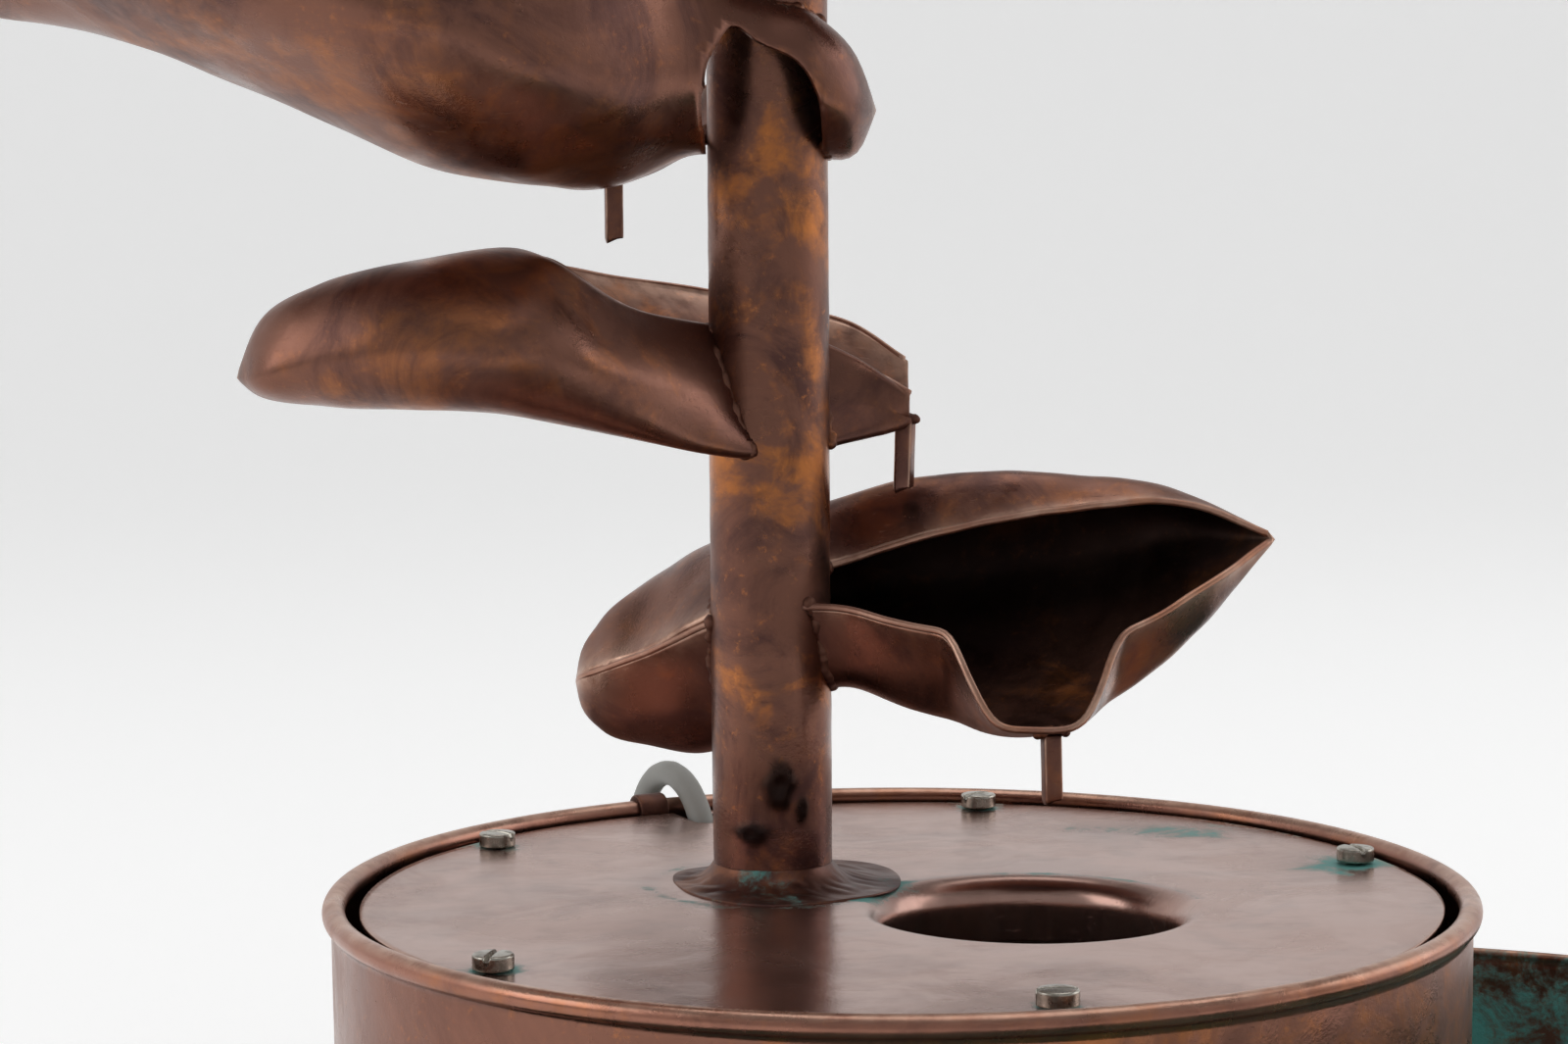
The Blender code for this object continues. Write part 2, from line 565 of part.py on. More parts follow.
def make_leaf(number, column_cutter):
    stations, spout, turn, size, lift, pin_spot, pin_lean = LEAVES[number - 1]
    base = min(pair[1] for row in stations for pair in row[1:])
    surface = leaf_surface(stations, spout, LEAF_ACROSS)
    surface = stand_leaf(surface, turn, size, lift, base)
    leaf = place(sheet_mesh(f"leaf_{number}", surface), COPPER)
    wall = leaf.modifiers.new("Sheet", "SOLIDIFY")
    wall.thickness = SHEET * MM
    wall.offset = 1.0
    for face in leaf.data.polygons:
        face.use_smooth = True
    if number == ARCH_LEAF:
        cut(leaf, make_arch()).modifiers[-1].use_self = True
    cut(leaf, column_cutter).modifiers[-1].use_self = True
    spots = np.array([(*pin_spot, 0.0), (pin_spot[0] + pin_lean, pin_spot[1], 0.0)])
    top, foot = (Vector(spot) for spot in stand_leaf(spots, turn, size, lift, base))
    top.z = underside(leaf, top, PIN_SIDE / 2) - 2 * GAP
    foot.z = top.z - PIN_LENGTH
    make_pin(number, top, foot)


def make_arch():
    centre = (COLUMN_CENTRE[0], COLUMN_CENTRE[1] - ARCH_DEPTH / 2, LID_TOP)
    arch = outline("cut_arch", [ARCH], ARCH_DEPTH, COPPER, centre, (90.0, 0.0, 0.0))
    return as_cutter(to_mesh(arch))


def underside(obj, spot, reach):
    """The lowest height of an object over a small square round a spot, in mm."""
    bpy.context.view_layer.update()
    solid = obj.evaluated_get(bpy.context.evaluated_depsgraph_get())
    heights = []
    for x in (-reach, 0.0, reach):
        for y in (-reach, 0.0, reach):
            start = Vector(((spot.x + x) * MM, (spot.y + y) * MM, 0.0))
            found, point, _, _ = solid.ray_cast(start, Vector((0.0, 0.0, 1.0)))
            if found:
                heights.append(point.z / MM)
    return min(heights)


def make_pin(number, top, foot):
    """The short square pin under a leaf's spout that the water drips from."""
    middle = (top + foot) / 2
    away = (foot - top).normalized()
    turn = Vector((0.0, 0.0, -1.0)).rotation_difference(away).to_euler()
    degrees = [math.degrees(value) for value in turn]
    size = (PIN_SIDE, PIN_SIDE, (foot - top).length)
    block(f"drip_pin_{number}", size, middle, COPPER, degrees, rounding=0.5)


# ---- pump ----------------------------------------------------------------------------------

def make_pump():
    x, y = COLUMN_CENTRE
    front = x + PUMP_FRONT
    across = (0.0, 90.0, 0.0)
    centre = (front - PUMP_SIZE[0] / 2, y, ROTOR_AXIS)
    housing = block("pump_housing", PUMP_SIZE, centre, PUMP_PLASTIC, rounding=3.0)
    axis = (front, y, ROTOR_AXIS)
    chamber = rod("cut_chamber", VANE_RADIUS + 2.0, -VANE_WIDTH - 1.0, 5.0, PUMP_PLASTIC, axis, across, 32)
    bore = rod("cut_bore", ROTOR_RADIUS + 1.0, -VANE_WIDTH - ROTOR_LENGTH - 2.0, 0.0, PUMP_PLASTIC,
               axis, across, 24)
    seat = rod("cut_seat", SHAFT_RADIUS + GAP, -VANE_WIDTH - ROTOR_LENGTH - 6.0, 0.0, PUMP_PLASTIC,
               axis, across, 12)
    rise = rod("cut_outlet", HOSE_BORE - 1.8, ROTOR_AXIS + 8.0, PUMP_TOP + 5.0, PUMP_PLASTIC,
               (x, y, 0.0), steps=20)
    for cutter in (chamber, bore, seat, rise):
        cut(housing, as_cutter(cutter))
    rod("pump_shaft", SHAFT_RADIUS, -VANE_WIDTH - ROTOR_LENGTH - 5.5, -0.5, CERAMIC, axis, across, 12)
    ring("rotor_magnet", ROTOR_RADIUS, SHAFT_RADIUS + GAP, -VANE_WIDTH - ROTOR_LENGTH - 1.0,
         -VANE_WIDTH - 1.0 - GAP, MAGNET, axis, across, 24)
    make_vanes(axis)
    outline("pump_cover", [rounded_outline(PUMP_SIZE[2], PUMP_SIZE[1], 3.0),
                           circle(INTAKE_RADIUS, count=24)],
            COVER_THICKNESS, PUMP_PLASTIC,
            (front + GAP + COVER_THICKNESS / 2, y, ROTOR_AXIS), across)
    make_intake(front + GAP + COVER_THICKNESS + GAP, y)
    make_hose(x, y)
    make_suction_feet(centre)
    back = centre[0] - PUMP_SIZE[0] / 2 - GAP
    reach, thick = GLAND_FLANGE
    boot = ((0.0, GLAND_LENGTH), (CORD_DIAMETER / 2 + 0.4, GLAND_LENGTH), (reach * 0.75, thick + 0.5))
    boot += ((reach, thick), (reach, 0.0), (0.0, 0.0))
    turned("cord_gland", boot, RUBBER, (back, y, ROTOR_AXIS), (0.0, -90.0, 0.0), steps=20)


def make_hose(x, y):
    """The pump's outlet, the hose that goes up the column and the clamp that holds it."""
    base = PUMP_TOP + GAP
    profile = ((HOSE_BORE - 2.0, BARB_HEIGHT), (HOSE_BORE - 0.9, BARB_HEIGHT))
    profile += ((HOSE_BORE - GAP, BARB_HEIGHT - 3.0), (HOSE_BORE - GAP, BARB_FLANGE))
    profile += ((HOSE_RADIUS, BARB_FLANGE), (HOSE_RADIUS, 0.0), (HOSE_BORE - 2.0, 0.0))
    turned("outlet_barb", profile, PUMP_PLASTIC, (x, y, base), steps=24, ring=True)
    hose_foot = base + BARB_FLANGE + GAP
    ring("riser_hose", HOSE_RADIUS, HOSE_BORE, hose_foot, LID_TOP + COLUMN_HEIGHT - 2.0, HOSE_PLASTIC,
         (x, y, 0.0), steps=20)
    ring("hose_clamp", HOSE_RADIUS + GAP + 1.0, HOSE_RADIUS + GAP, hose_foot + 3.0,
         hose_foot + 3.0 + CLAMP_WIDTH, STEEL, (x, y, 0.0), steps=24)


def make_suction_feet(centre):
    """Four rubber cups that hold the pump to the drum's base."""
    height = PUMP_BASE - 3 * GAP
    cup = ((0.0, height), (4.0, height), (4.0, height - 3.0), (FOOT_RADIUS, 0.0))
    cup += ((FOOT_RADIUS - 1.2, 0.0), (2.0, 3.0), (0.0, 3.0))
    reach = (PUMP_SIZE[0] / 2 - FOOT_INSET[0], PUMP_SIZE[1] / 2 - FOOT_INSET[1])
    for index, (along, side) in enumerate(((-1, -1), (-1, 1), (1, -1), (1, 1)), 1):
        spot = (centre[0] + along * reach[0], centre[1] + side * reach[1], BASE_TOP + GAP)
        turned(f"suction_foot_{index}", cup, RUBBER, spot, steps=12)


def rounded_outline(width, height, radius):
    found = []
    for corner, (sx, sy) in enumerate(((1, 1), (-1, 1), (-1, -1), (1, -1))):
        centre = (sx * (width / 2 - radius), sy * (height / 2 - radius))
        found += arc(centre, radius, 90.0 * corner, 90.0 * corner + 90.0, 3)
    return found


def make_vanes(axis):
    """The impeller: a hub on the shaft with flat vanes round it."""
    loops = []
    for index in range(VANE_COUNT):
        angle = 360.0 / VANE_COUNT * index
        half = 8.0
        loops += [polar(HUB_RADIUS, angle - 30.0 + half * 0.6), polar(HUB_RADIUS, angle - half * 1.8)]
        loops += [polar(VANE_RADIUS, angle - half / 2), polar(VANE_RADIUS, angle + half / 2)]
        loops += [polar(HUB_RADIUS, angle + half * 1.8)]
    outline("impeller_vanes", [loops, circle(SHAFT_RADIUS + GAP, count=12)], VANE_WIDTH - 1.0,
            PUMP_PLASTIC, (axis[0] - VANE_WIDTH / 2 - 0.5, axis[1], axis[2]), (0.0, 90.0, 0.0))


def make_intake(back, y):
    """The clip-on intake cover with its slots, the foam behind them and the flow dial on the front."""
    depth, width, height = GRILLE_DEPTH, PUMP_SIZE[1], PUMP_SIZE[2]
    grille = block("intake_grille", (depth, width, height), (back + depth / 2, y, ROTOR_AXIS),
                   PUMP_PLASTIC, rounding=2.0)
    inner = block("cut_grille", (depth, width - 2 * GRILLE_WALL, height - 2 * GRILLE_WALL),
                  (back + depth / 2 - GRILLE_WALL, y, ROTOR_AXIS), PUMP_PLASTIC)
    cut(grille, as_cutter(inner))
    pitch = (width - 10.0) / GRILLE_SLOTS
    for index in range(GRILLE_SLOTS):
        side = (index - (GRILLE_SLOTS - 1) / 2) * pitch
        for row in (-1, 1):
            slot = block(f"cut_slot_{index}_{row}", (6.0, pitch * 0.45, 8.0),
                         (back + depth, y + side, ROTOR_AXIS + row * (height / 2 - 7.0)), PUMP_PLASTIC)
            cut(grille, as_cutter(slot))
    block("foam_filter", (FOAM_THICKNESS, width - 2 * GRILLE_WALL - 1.0, height - 2 * GRILLE_WALL - 1.0),
          (back + 7.0, y, ROTOR_AXIS), FOAM)
    front = back + depth + GAP
    dial = rod("flow_dial", DIAL_RADIUS, 0.0, DIAL_THICKNESS, PUMP_PLASTIC, (front, y, ROTOR_AXIS),
               (0.0, 90.0, 0.0), 24)
    thumb = block("join_dial_tab", (3.0, 3.0, 2 * DIAL_RADIUS - 4.0),
                  (front + DIAL_THICKNESS, y, ROTOR_AXIS), PUMP_PLASTIC)
    cut(dial, as_cutter(thumb), "UNION")


# ---- cord ----------------------------------------------------------------------------------

def cord_points():
    """Points of the cord at even spacing; the part that goes over the rim rises with the lid."""
    route = np.array(CORD_ROUTE)
    start = route[0, 2]
    share = np.clip((route[:, 2] - start) / (ROUTE_LID_TOP - start), 0.0, 1.0)
    route[:, 2] += share * (LID_TOP - ROUTE_LID_TOP)
    keys = np.concatenate([[0.0], np.cumsum(np.linalg.norm(np.diff(route, axis=0), axis=1))])
    fine = smooth_through(keys, route, np.linspace(0.0, keys[-1], 600))
    run = np.concatenate([[0.0], np.cumsum(np.linalg.norm(np.diff(fine, axis=0), axis=1))])
    count = int(run[-1] / (CORD_SPACING * CORD_DIAMETER)) + 1
    wanted = np.linspace(0.0, run[-1], count)
    return np.stack([np.interp(wanted, run, fine[:, axis]) for axis in range(3)], axis=1)


def make_cord():
    tube("power_cord", cord_points().tolist(), CORD_DIAMETER / 2, CORD_PLASTIC, 2)
    half = (COIL_COLUMNS - 1) * COIL_PITCH / 2 + CORD_DIAMETER / 2 + COIL_CLEARANCE
    low = FLOOR_CLEARANCE
    high = low + 2 * COIL_CLEARANCE + (COIL_LAYERS - 1) * COIL_PITCH + CORD_DIAMETER
    outer, inner = COIL_RADIUS + half, COIL_RADIUS - half
    profile = ((outer - 2.0, high), (outer, high - 2.0), (outer, low + 2.0), (outer - 2.0, low))
    profile += ((inner + 2.0, low), (inner, low + 2.0), (inner, high - 2.0), (inner + 2.0, high))
    turned("cord_coil", profile, CORD_PLASTIC, (*COIL_CENTRE, 0.0), steps=32, ring=True)
    make_plug(outer, high)


def make_plug(coil_outer, coil_top):
    """The cord leaves the coil's outermost turn towards -Y and goes into the plug's back."""
    x = COIL_CENTRE[0] + COIL_RADIUS + (COIL_COLUMNS - 1) * COIL_PITCH / 2
    near_side = x - COIL_CENTRE[0] - CORD_DIAMETER / 2
    start = COIL_CENTRE[1] - math.sqrt(coil_outer ** 2 - near_side ** 2) - 2 * GAP
    end = start - TAIL_LENGTH
    height = FLOOR_CLEARANCE + PLUG_HEIGHT / 2
    drop = coil_top - CORD_DIAMETER / 2 - height
    tail = [(x, start + (end - start) * share, height + drop * 0.3 * (1.0 - share) ** 2)
            for share in (0.0, 0.5, 1.0)]
    tube("cord_tail", tail, CORD_DIAMETER / 2, CORD_PLASTIC, 2)
    back = end - GAP
    block("plug_body", (PLUG_WIDTH, PLUG_LENGTH, PLUG_HEIGHT), (x, back - PLUG_LENGTH / 2, height),
          CORD_PLASTIC, rounding=3.0)
    for index, side in enumerate((-1, 1), 1):
        rod(f"plug_pin_{index}", PLUG_PIN_RADIUS, GAP, PLUG_PIN_LENGTH, STEEL,
            (x + side * PLUG_PIN_PITCH / 2, back - PLUG_LENGTH, height), (90.0, 0.0, 0.0), 12)


def make_cord_clip():
    """The small strap bent over the rolled rim beside the cord."""
    inner = BEAD_RADIUS + 2 * GAP
    outer = inner + CLIP_SHEET
    side = arc((BEAD_CENTRE, LID_TOP), outer, -30.0, 205.0, 9)
    side += arc((BEAD_CENTRE, LID_TOP), inner, 205.0, -30.0, 9)
    outline("rim_clip", [side], CLIP_WIDTH, COPPER, turn=(90.0, 0.0, NOTCH_ANGLE + CLIP_TURN))


clear_scene()
PARTS = make_collection("Water fountain")
CUTTERS = make_collection("Cutters")
CUTTERS.hide_render = True
COPPER = material("Aged copper", (0.20, 0.085, 0.045), 0.38, 1.0)
LID_COPPER = material("Lid copper", (0.42, 0.28, 0.22), 0.28, 1.0)
SCREW_METAL = material("Screw metal", (0.34, 0.32, 0.28), 0.35, 1.0)
STEEL = material("Steel", (0.62, 0.62, 0.62), 0.25, 1.0)
PUMP_PLASTIC = material("Pump plastic", (0.02, 0.02, 0.022), 0.45, 0.0)
RUBBER = material("Rubber", (0.03, 0.03, 0.03), 0.7, 0.0)
HOSE_PLASTIC = material("Hose plastic", (0.62, 0.66, 0.64), 0.3, 0.0)
MAGNET = material("Magnet", (0.06, 0.06, 0.065), 0.55, 0.0)
CERAMIC = material("Ceramic", (0.85, 0.84, 0.80), 0.25, 0.0)
FOAM = material("Foam", (0.03, 0.03, 0.03), 0.95, 0.0)
CORD_PLASTIC = material("Cord sheath", (0.24, 0.23, 0.21), 0.6, 0.0)

make_tray()
make_drum()
make_lugs()
make_lid()
make_screws()
COLUMN_CUTTER = make_column()
for leaf_number in range(1, len(LEAVES) + 1):
    make_leaf(leaf_number, COLUMN_CUTTER)
make_pump()
make_cord()
make_cord_clip()
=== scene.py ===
"""Fine surfaces and finishes of a tabletop water fountain: copper leaves on a pipe column over a drum.

Every new piece is worked out in millimetres in the fountain's own frame and put into its mesh in
metres: the origin is on the drum's axis on the tray's underside, +Z is up and -Y faces the viewer.
"""

import math

import bmesh
import bpy
import numpy as np
from bpy.props import FloatProperty, FloatVectorProperty, IntProperty, PointerProperty
from mathutils import Matrix, Vector


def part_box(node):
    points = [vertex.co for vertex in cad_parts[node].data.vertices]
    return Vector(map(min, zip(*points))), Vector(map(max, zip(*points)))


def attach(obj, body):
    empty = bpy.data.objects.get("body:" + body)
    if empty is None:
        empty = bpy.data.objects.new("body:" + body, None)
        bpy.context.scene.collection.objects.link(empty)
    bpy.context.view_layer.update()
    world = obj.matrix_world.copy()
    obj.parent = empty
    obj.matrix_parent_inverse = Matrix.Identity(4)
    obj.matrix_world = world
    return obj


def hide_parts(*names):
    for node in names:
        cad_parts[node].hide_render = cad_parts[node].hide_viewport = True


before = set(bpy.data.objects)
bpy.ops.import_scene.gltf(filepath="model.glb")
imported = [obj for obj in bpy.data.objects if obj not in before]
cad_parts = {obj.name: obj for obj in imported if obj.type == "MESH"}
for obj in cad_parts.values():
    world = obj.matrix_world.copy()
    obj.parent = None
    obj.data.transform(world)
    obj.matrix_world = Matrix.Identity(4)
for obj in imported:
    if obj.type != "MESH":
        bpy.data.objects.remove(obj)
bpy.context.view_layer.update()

bl_info = {
    "name": "Copper leaf fountain",
    "version": (1, 0, 0),
    "blender": (4, 5, 0),
    "location": "View3D > Sidebar > Fountain",
    "description": "Builds the fine surfaces and finishes of a tabletop water fountain",
    "category": "Object",
}

MM = 0.001
FOUNTAIN = "lid_and_column"    # the body that carries the lid, the column and the leaves
BASE = "base"


def corners(node):
    """The lowest and highest corner of a CAD node, in mm."""
    low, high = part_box(node)
    return np.array(low) / MM, np.array(high) / MM


LID_TOP = float(corners("lid")[1][2])
COLUMN_AXIS = sum(corners("column_tube"))[:2] / 2
COLUMN_LOW = float(corners("column_tube")[0][2])
COLUMN_HIGH = float(corners("column_tube")[1][2])
COLUMN_RADIUS = float(corners("column_tube")[1][0] - COLUMN_AXIS[0])
HOLE_CENTRE = sum(corners("drain_collar"))[:2] / 2
HOLE_RADIUS = float(corners("drain_collar")[1][0] - HOLE_CENTRE[0])
LID_RADIUS = float(corners("lid")[1][0])
TRAY_CENTRE = sum(corners("tray"))[:2] / 2
TRAY_RADIUS = float(corners("tray")[1][0] - TRAY_CENTRE[0])
TRAY_HEIGHT = float(corners("tray")[1][2])
DRUM_FOOT = float(corners("drum_wall")[0][2])
RIM_OUTSIDE = float(corners("drum_wall")[1][0])


# ---- sizes and colours ---------------------------------------------------------------------

def length(name, description, default, low, high):
    return FloatProperty(name=name, description=description, default=default * MM,
                         min=low * MM, max=high * MM, unit="LENGTH", precision=4)


def colour(name, description, default):
    return FloatVectorProperty(name=name, description=description, default=default,
                               min=0.0, max=1.0, size=3, subtype="COLOR")


class FountainSizes(bpy.types.PropertyGroup):
    """Sizes of the sheet metal and of the cord."""

    sheet: length("Sheet", "Thickness of the copper sheet", 1.2, 0.5, 3.0)
    lip: length("Leaf lip", "Radius of the dressed edge round each leaf", 0.85, 0.4, 2.0)
    wave: length("Hammer waves", "Height of the gentle waves left by forming", 0.45, 0.0, 2.0)
    bead: length("Rim bead", "Radius of the rolled rim of the drum", 2.65, 1.0, 5.0)
    braze: length("Brazing", "Radius of the brazed seam round the column", 1.7, 0.5, 4.0)
    cord: length("Cord", "Diameter of the mains cord", 6.5, 4.0, 9.0)
    cord_length: FloatProperty(name="Cord length", description="Length of the cord, gland to plug",
                               default=1.61, min=1.0, max=2.5, unit="LENGTH")
    leaf_along: IntProperty(name="Slices", description="Slices along each leaf", default=150, min=40,
                            max=240)
    leaf_round: IntProperty(name="Points round", description="Points round each slice", default=84,
                            min=24, max=160)


class FountainColours(bpy.types.PropertyGroup):
    """Colours of the finishes."""

    copper: colour("Brown copper", "Main tone of the aged copper", (0.215, 0.098, 0.068))
    ochre: colour("Ochre bloom", "Orange heat bloom on the copper", (0.52, 0.185, 0.055))
    plum: colour("Plum", "Dark purple tone of the copper", (0.085, 0.042, 0.040))
    pale: colour("Rubbed copper", "Tone of rubbed edges", (0.62, 0.40, 0.30))
    lid: colour("Lid copper", "Brushed tone of the lid", (0.46, 0.285, 0.235))
    verdigris: colour("Verdigris", "Blue-green deposit", (0.10, 0.33, 0.30))
    screw: colour("Screw metal", "Tarnished nickel of the screws", (0.42, 0.39, 0.34))
    cord: colour("Cord", "Sheath of the mains cord", (0.33, 0.325, 0.30))
    stage: colour("Stage", "Floor and backdrop", (0.86, 0.86, 0.86))


# ---- mesh helpers --------------------------------------------------------------------------

def smooth_through(keys, values, at):
    """A cubic through the values at the keys, each key's slope taken from its neighbours."""
    keys = np.asarray(keys, float)
    values = np.asarray(values, float)
    shape = (-1,) + (1,) * (values.ndim - 1)
    steps = np.diff(keys)
    chords = np.diff(values, axis=0) / steps.reshape(shape)
    before = steps[:-1].reshape(shape)
    after = steps[1:].reshape(shape)
    middle = (chords[:-1] * after + chords[1:] * before) / (before + after)
    slopes = np.concatenate([chords[:1], middle, chords[-1:]])
    place = np.clip(np.searchsorted(keys, at, side="right") - 1, 0, len(keys) - 2)
    step = steps[place].reshape(shape)
    t = ((np.asarray(at, float) - keys[place]) / steps[place]).reshape(shape)
    blend_low = 2 * t**3 - 3 * t**2 + 1
    blend_high = 3 * t**2 - 2 * t**3
    slope_low = (t**3 - 2 * t**2 + t) * step * slopes[place]
    slope_high = (t**3 - t**2) * step * slopes[place + 1]
    return blend_low * values[place] + blend_high * values[place + 1] + slope_low + slope_high


def waves(points, wavelength, seed):
    """A smooth random height from -1 to 1: the mean of nine sines in seeded directions."""
    draw = np.random.default_rng(seed)
    directions = draw.normal(size=(9, 3))
    directions /= np.linalg.norm(directions, axis=1, keepdims=True)
    turns = 2 * math.pi / (wavelength * draw.uniform(0.7, 1.6, 9))
    starts = draw.uniform(0.0, 2 * math.pi, 9)
    return np.sin(points @ (directions * turns[:, None]).T + starts).mean(axis=-1) * 2.0


def grid_faces(rows, columns, wrap_rows=False, wrap_columns=False):
    """Quads over a grid of rows by columns, closed in either direction."""
    index = np.arange(rows * columns).reshape(rows, columns)
    if wrap_rows:
        index = np.concatenate([index, index[:1]], axis=0)
    if wrap_columns:
        index = np.concatenate([index, index[:, :1]], axis=1)
    quads = np.stack((index[:-1, :-1], index[1:, :-1], index[1:, 1:], index[:-1, 1:]), axis=-1)
    return quads.reshape(-1, 4)


def grid_normals(surface):
    """Unit normals of a grid of points, from its slopes along rows and columns."""
    down = np.gradient(surface, axis=0)
    across = np.gradient(surface, axis=1)
    normal = np.cross(down, across)
    return normal / np.maximum(np.linalg.norm(normal, axis=-1, keepdims=True), 1e-9)


def make_piece(name, points, faces, skins, body, replaces=(), layers=None, outwards=True, merge=0.02):
    """A smooth mesh object of points in mm that rides on a body and stands for CAD nodes."""
    mesh = bpy.data.meshes.new(name)
    mesh.from_pydata((np.asarray(points, float).reshape(-1, 3) * MM).tolist(), [], faces.tolist())
    for key, values in (layers or {}).items():
        mesh.attributes.new(key, "FLOAT", "POINT").data.foreach_set("value", np.ravel(values))
    shape = bmesh.new()
    shape.from_mesh(mesh)
    bmesh.ops.remove_doubles(shape, verts=shape.verts, dist=merge * MM)
    bmesh.ops.dissolve_degenerate(shape, edges=shape.edges, dist=merge * MM / 2)
    bmesh.ops.delete(shape, geom=[v for v in shape.verts if not v.link_faces], context="VERTS")
    if outwards:
        bmesh.ops.recalc_face_normals(shape, faces=shape.faces)
    shape.to_mesh(mesh)
    shape.free()
    mesh.shade_smooth()
    obj = bpy.data.objects.new(name, mesh)
    bpy.context.scene.collection.objects.link(obj)
    for skin in skins:
        mesh.materials.append(skin)
    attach(obj, body)
    if replaces:
        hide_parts(*replaces)
    return obj


def turned_piece(name, profile, steps, skins, body, replaces=(), centre=(0.0, 0.0), change=None, **more):
    """A closed profile of (radius, height) carried round an upright axis, with a change on the grid."""
    profile = np.asarray(profile, float)
    angle = np.linspace(0.0, 2 * math.pi, steps, endpoint=False)[:, None]
    surface = np.stack([centre[0] + profile[:, 0] * np.cos(angle), centre[1] + profile[:, 0] * np.sin(angle),
                        np.broadcast_to(profile[:, 1], (steps, len(profile)))], axis=-1)
    if change is not None:
        surface = change(surface, angle)
    faces = grid_faces(steps, len(profile), True, True)
    return make_piece(name, surface, faces, skins, body, replaces, **more)


def arc(centre, radius, start, end, count):
    """Points on a circle round a centre, from one angle to another in degrees."""
    angle = np.radians(np.linspace(start, end, count))
    return np.stack([centre[0] + radius * np.cos(angle), centre[1] + radius * np.sin(angle)], axis=1)


def line(start, end, count):
    """Points evenly spaced from start up to, but not at, end."""
    return np.linspace(start, end, count, endpoint=False)


def carried(path, normals, profile):
    """A profile of (along the normal, sideways) carried along a path whose normals are given."""
    ahead = np.gradient(path, axis=0)
    ahead /= np.maximum(np.linalg.norm(ahead, axis=1, keepdims=True), 1e-9)
    side = np.cross(ahead, normals)
    side /= np.maximum(np.linalg.norm(side, axis=1, keepdims=True), 1e-9)
    up = np.cross(side, ahead)
    return path[:, None] + up[:, None] * profile[None, :, :1] + side[:, None] * profile[None, :, 1:]


def with_ends(surface):
    """Closes the two ends of a grid of rings, each with a ring drawn in to its middle."""
    first = np.broadcast_to(surface[0].mean(axis=0), surface[0].shape)
    last = np.broadcast_to(surface[-1].mean(axis=0), surface[-1].shape)
    return np.concatenate([first[None], surface, last[None]])


# ---- finishes ------------------------------------------------------------------------------

def add(tree, kind, inputs=None, **settings):
    """A node of a kind, with settings, and inputs given as values or as sockets to link."""
    node = tree.nodes.new("ShaderNode" + kind)
    for key, value in settings.items():
        setattr(node, key, value)
    for key, value in (inputs or {}).items():
        if isinstance(value, bpy.types.NodeSocket):
            tree.links.new(value, node.inputs[key])
        else:
            node.inputs[key].default_value = value
    return node


def noise(tree, vector, scale, detail=4.0, rough=0.55, warp=0.0):
    made = add(tree, "TexNoise", {"Vector": vector, "Scale": scale, "Detail": detail, "Roughness": rough,
                                  "Distortion": warp})
    return made.outputs["Fac"]


def between(tree, value, low, high, out_low=0.0, out_high=1.0):
    """Maps a value from low..high to another range with smooth ends."""
    made = add(tree, "MapRange", {"Value": value, "From Min": low, "From Max": high, "To Min": out_low,
                                  "To Max": out_high}, interpolation_type="SMOOTHSTEP")
    return made.outputs["Result"]


def maths(tree, operation, first, second=0.0, clamp=False):
    return add(tree, "Math", {0: first, 1: second}, operation=operation, use_clamp=clamp).outputs[0]


def blend(tree, amount, first, second, kind="MIX"):
    """One colour laid over another by an amount."""
    made = add(tree, "Mix", data_type="RGBA", blend_type=kind)
    for socket, value in ((made.inputs[0], amount), (made.inputs[6], first), (made.inputs[7], second)):
        if isinstance(value, bpy.types.NodeSocket):
            tree.links.new(value, socket)
        else:
            socket.default_value = value
    return made.outputs[2]


def new_group(name, inputs, outputs):
    """An empty shader group with float or vector inputs and outputs, each (name, default)."""
    tree = bpy.data.node_groups.new(name, "ShaderNodeTree")
    for key, default in inputs:
        kind = "NodeSocketVector" if default is None else "NodeSocketFloat"
        socket = tree.interface.new_socket(key, in_out="INPUT", socket_type=kind)
        if default is not None:
            socket.default_value = default
    for key in outputs:
        tree.interface.new_socket(key, in_out="OUTPUT", socket_type="NodeSocketFloat")
    start = tree.nodes.new("NodeGroupInput")
    end = tree.nodes.new("NodeGroupOutput")
    return tree, start.outputs, end.inputs


def bloom_group():
    """Heat bloom: cloudy ochre and dark patches with fine freckles inside them."""
    tree, given, out = new_group("Heat bloom", (("Vector", None), ("Scale", 18.0)),
                                 ("Ochre", "Dark", "Freckles"))
    vector = given["Vector"]
    coarse = noise(tree, vector, given["Scale"], 5.0, 0.62, 0.9)
    fine = noise(tree, vector, 520.0, 4.0, 0.65)
    middle = noise(tree, vector, 95.0, 5.0, 0.65, 0.5)
    mixed = maths(tree, "ADD", maths(tree, "MULTIPLY", coarse, 0.62), maths(tree, "MULTIPLY", middle, 0.38))
    tree.links.new(between(tree, mixed, 0.49, 0.63), out["Ochre"])
    shifted = add(tree, "Mapping", {"Vector": vector, "Location": (0.31, 0.17, 0.53)}).outputs[0]
    dark = noise(tree, shifted, maths(tree, "MULTIPLY", given["Scale"], 1.5), 6.0, 0.66, 1.2)
    tree.links.new(between(tree, dark, 0.46, 0.66), out["Dark"])
    spots = maths(tree, "MULTIPLY", between(tree, fine, 0.55, 0.72), between(tree, middle, 0.42, 0.62))
    tree.links.new(spots, out["Freckles"])
    return tree


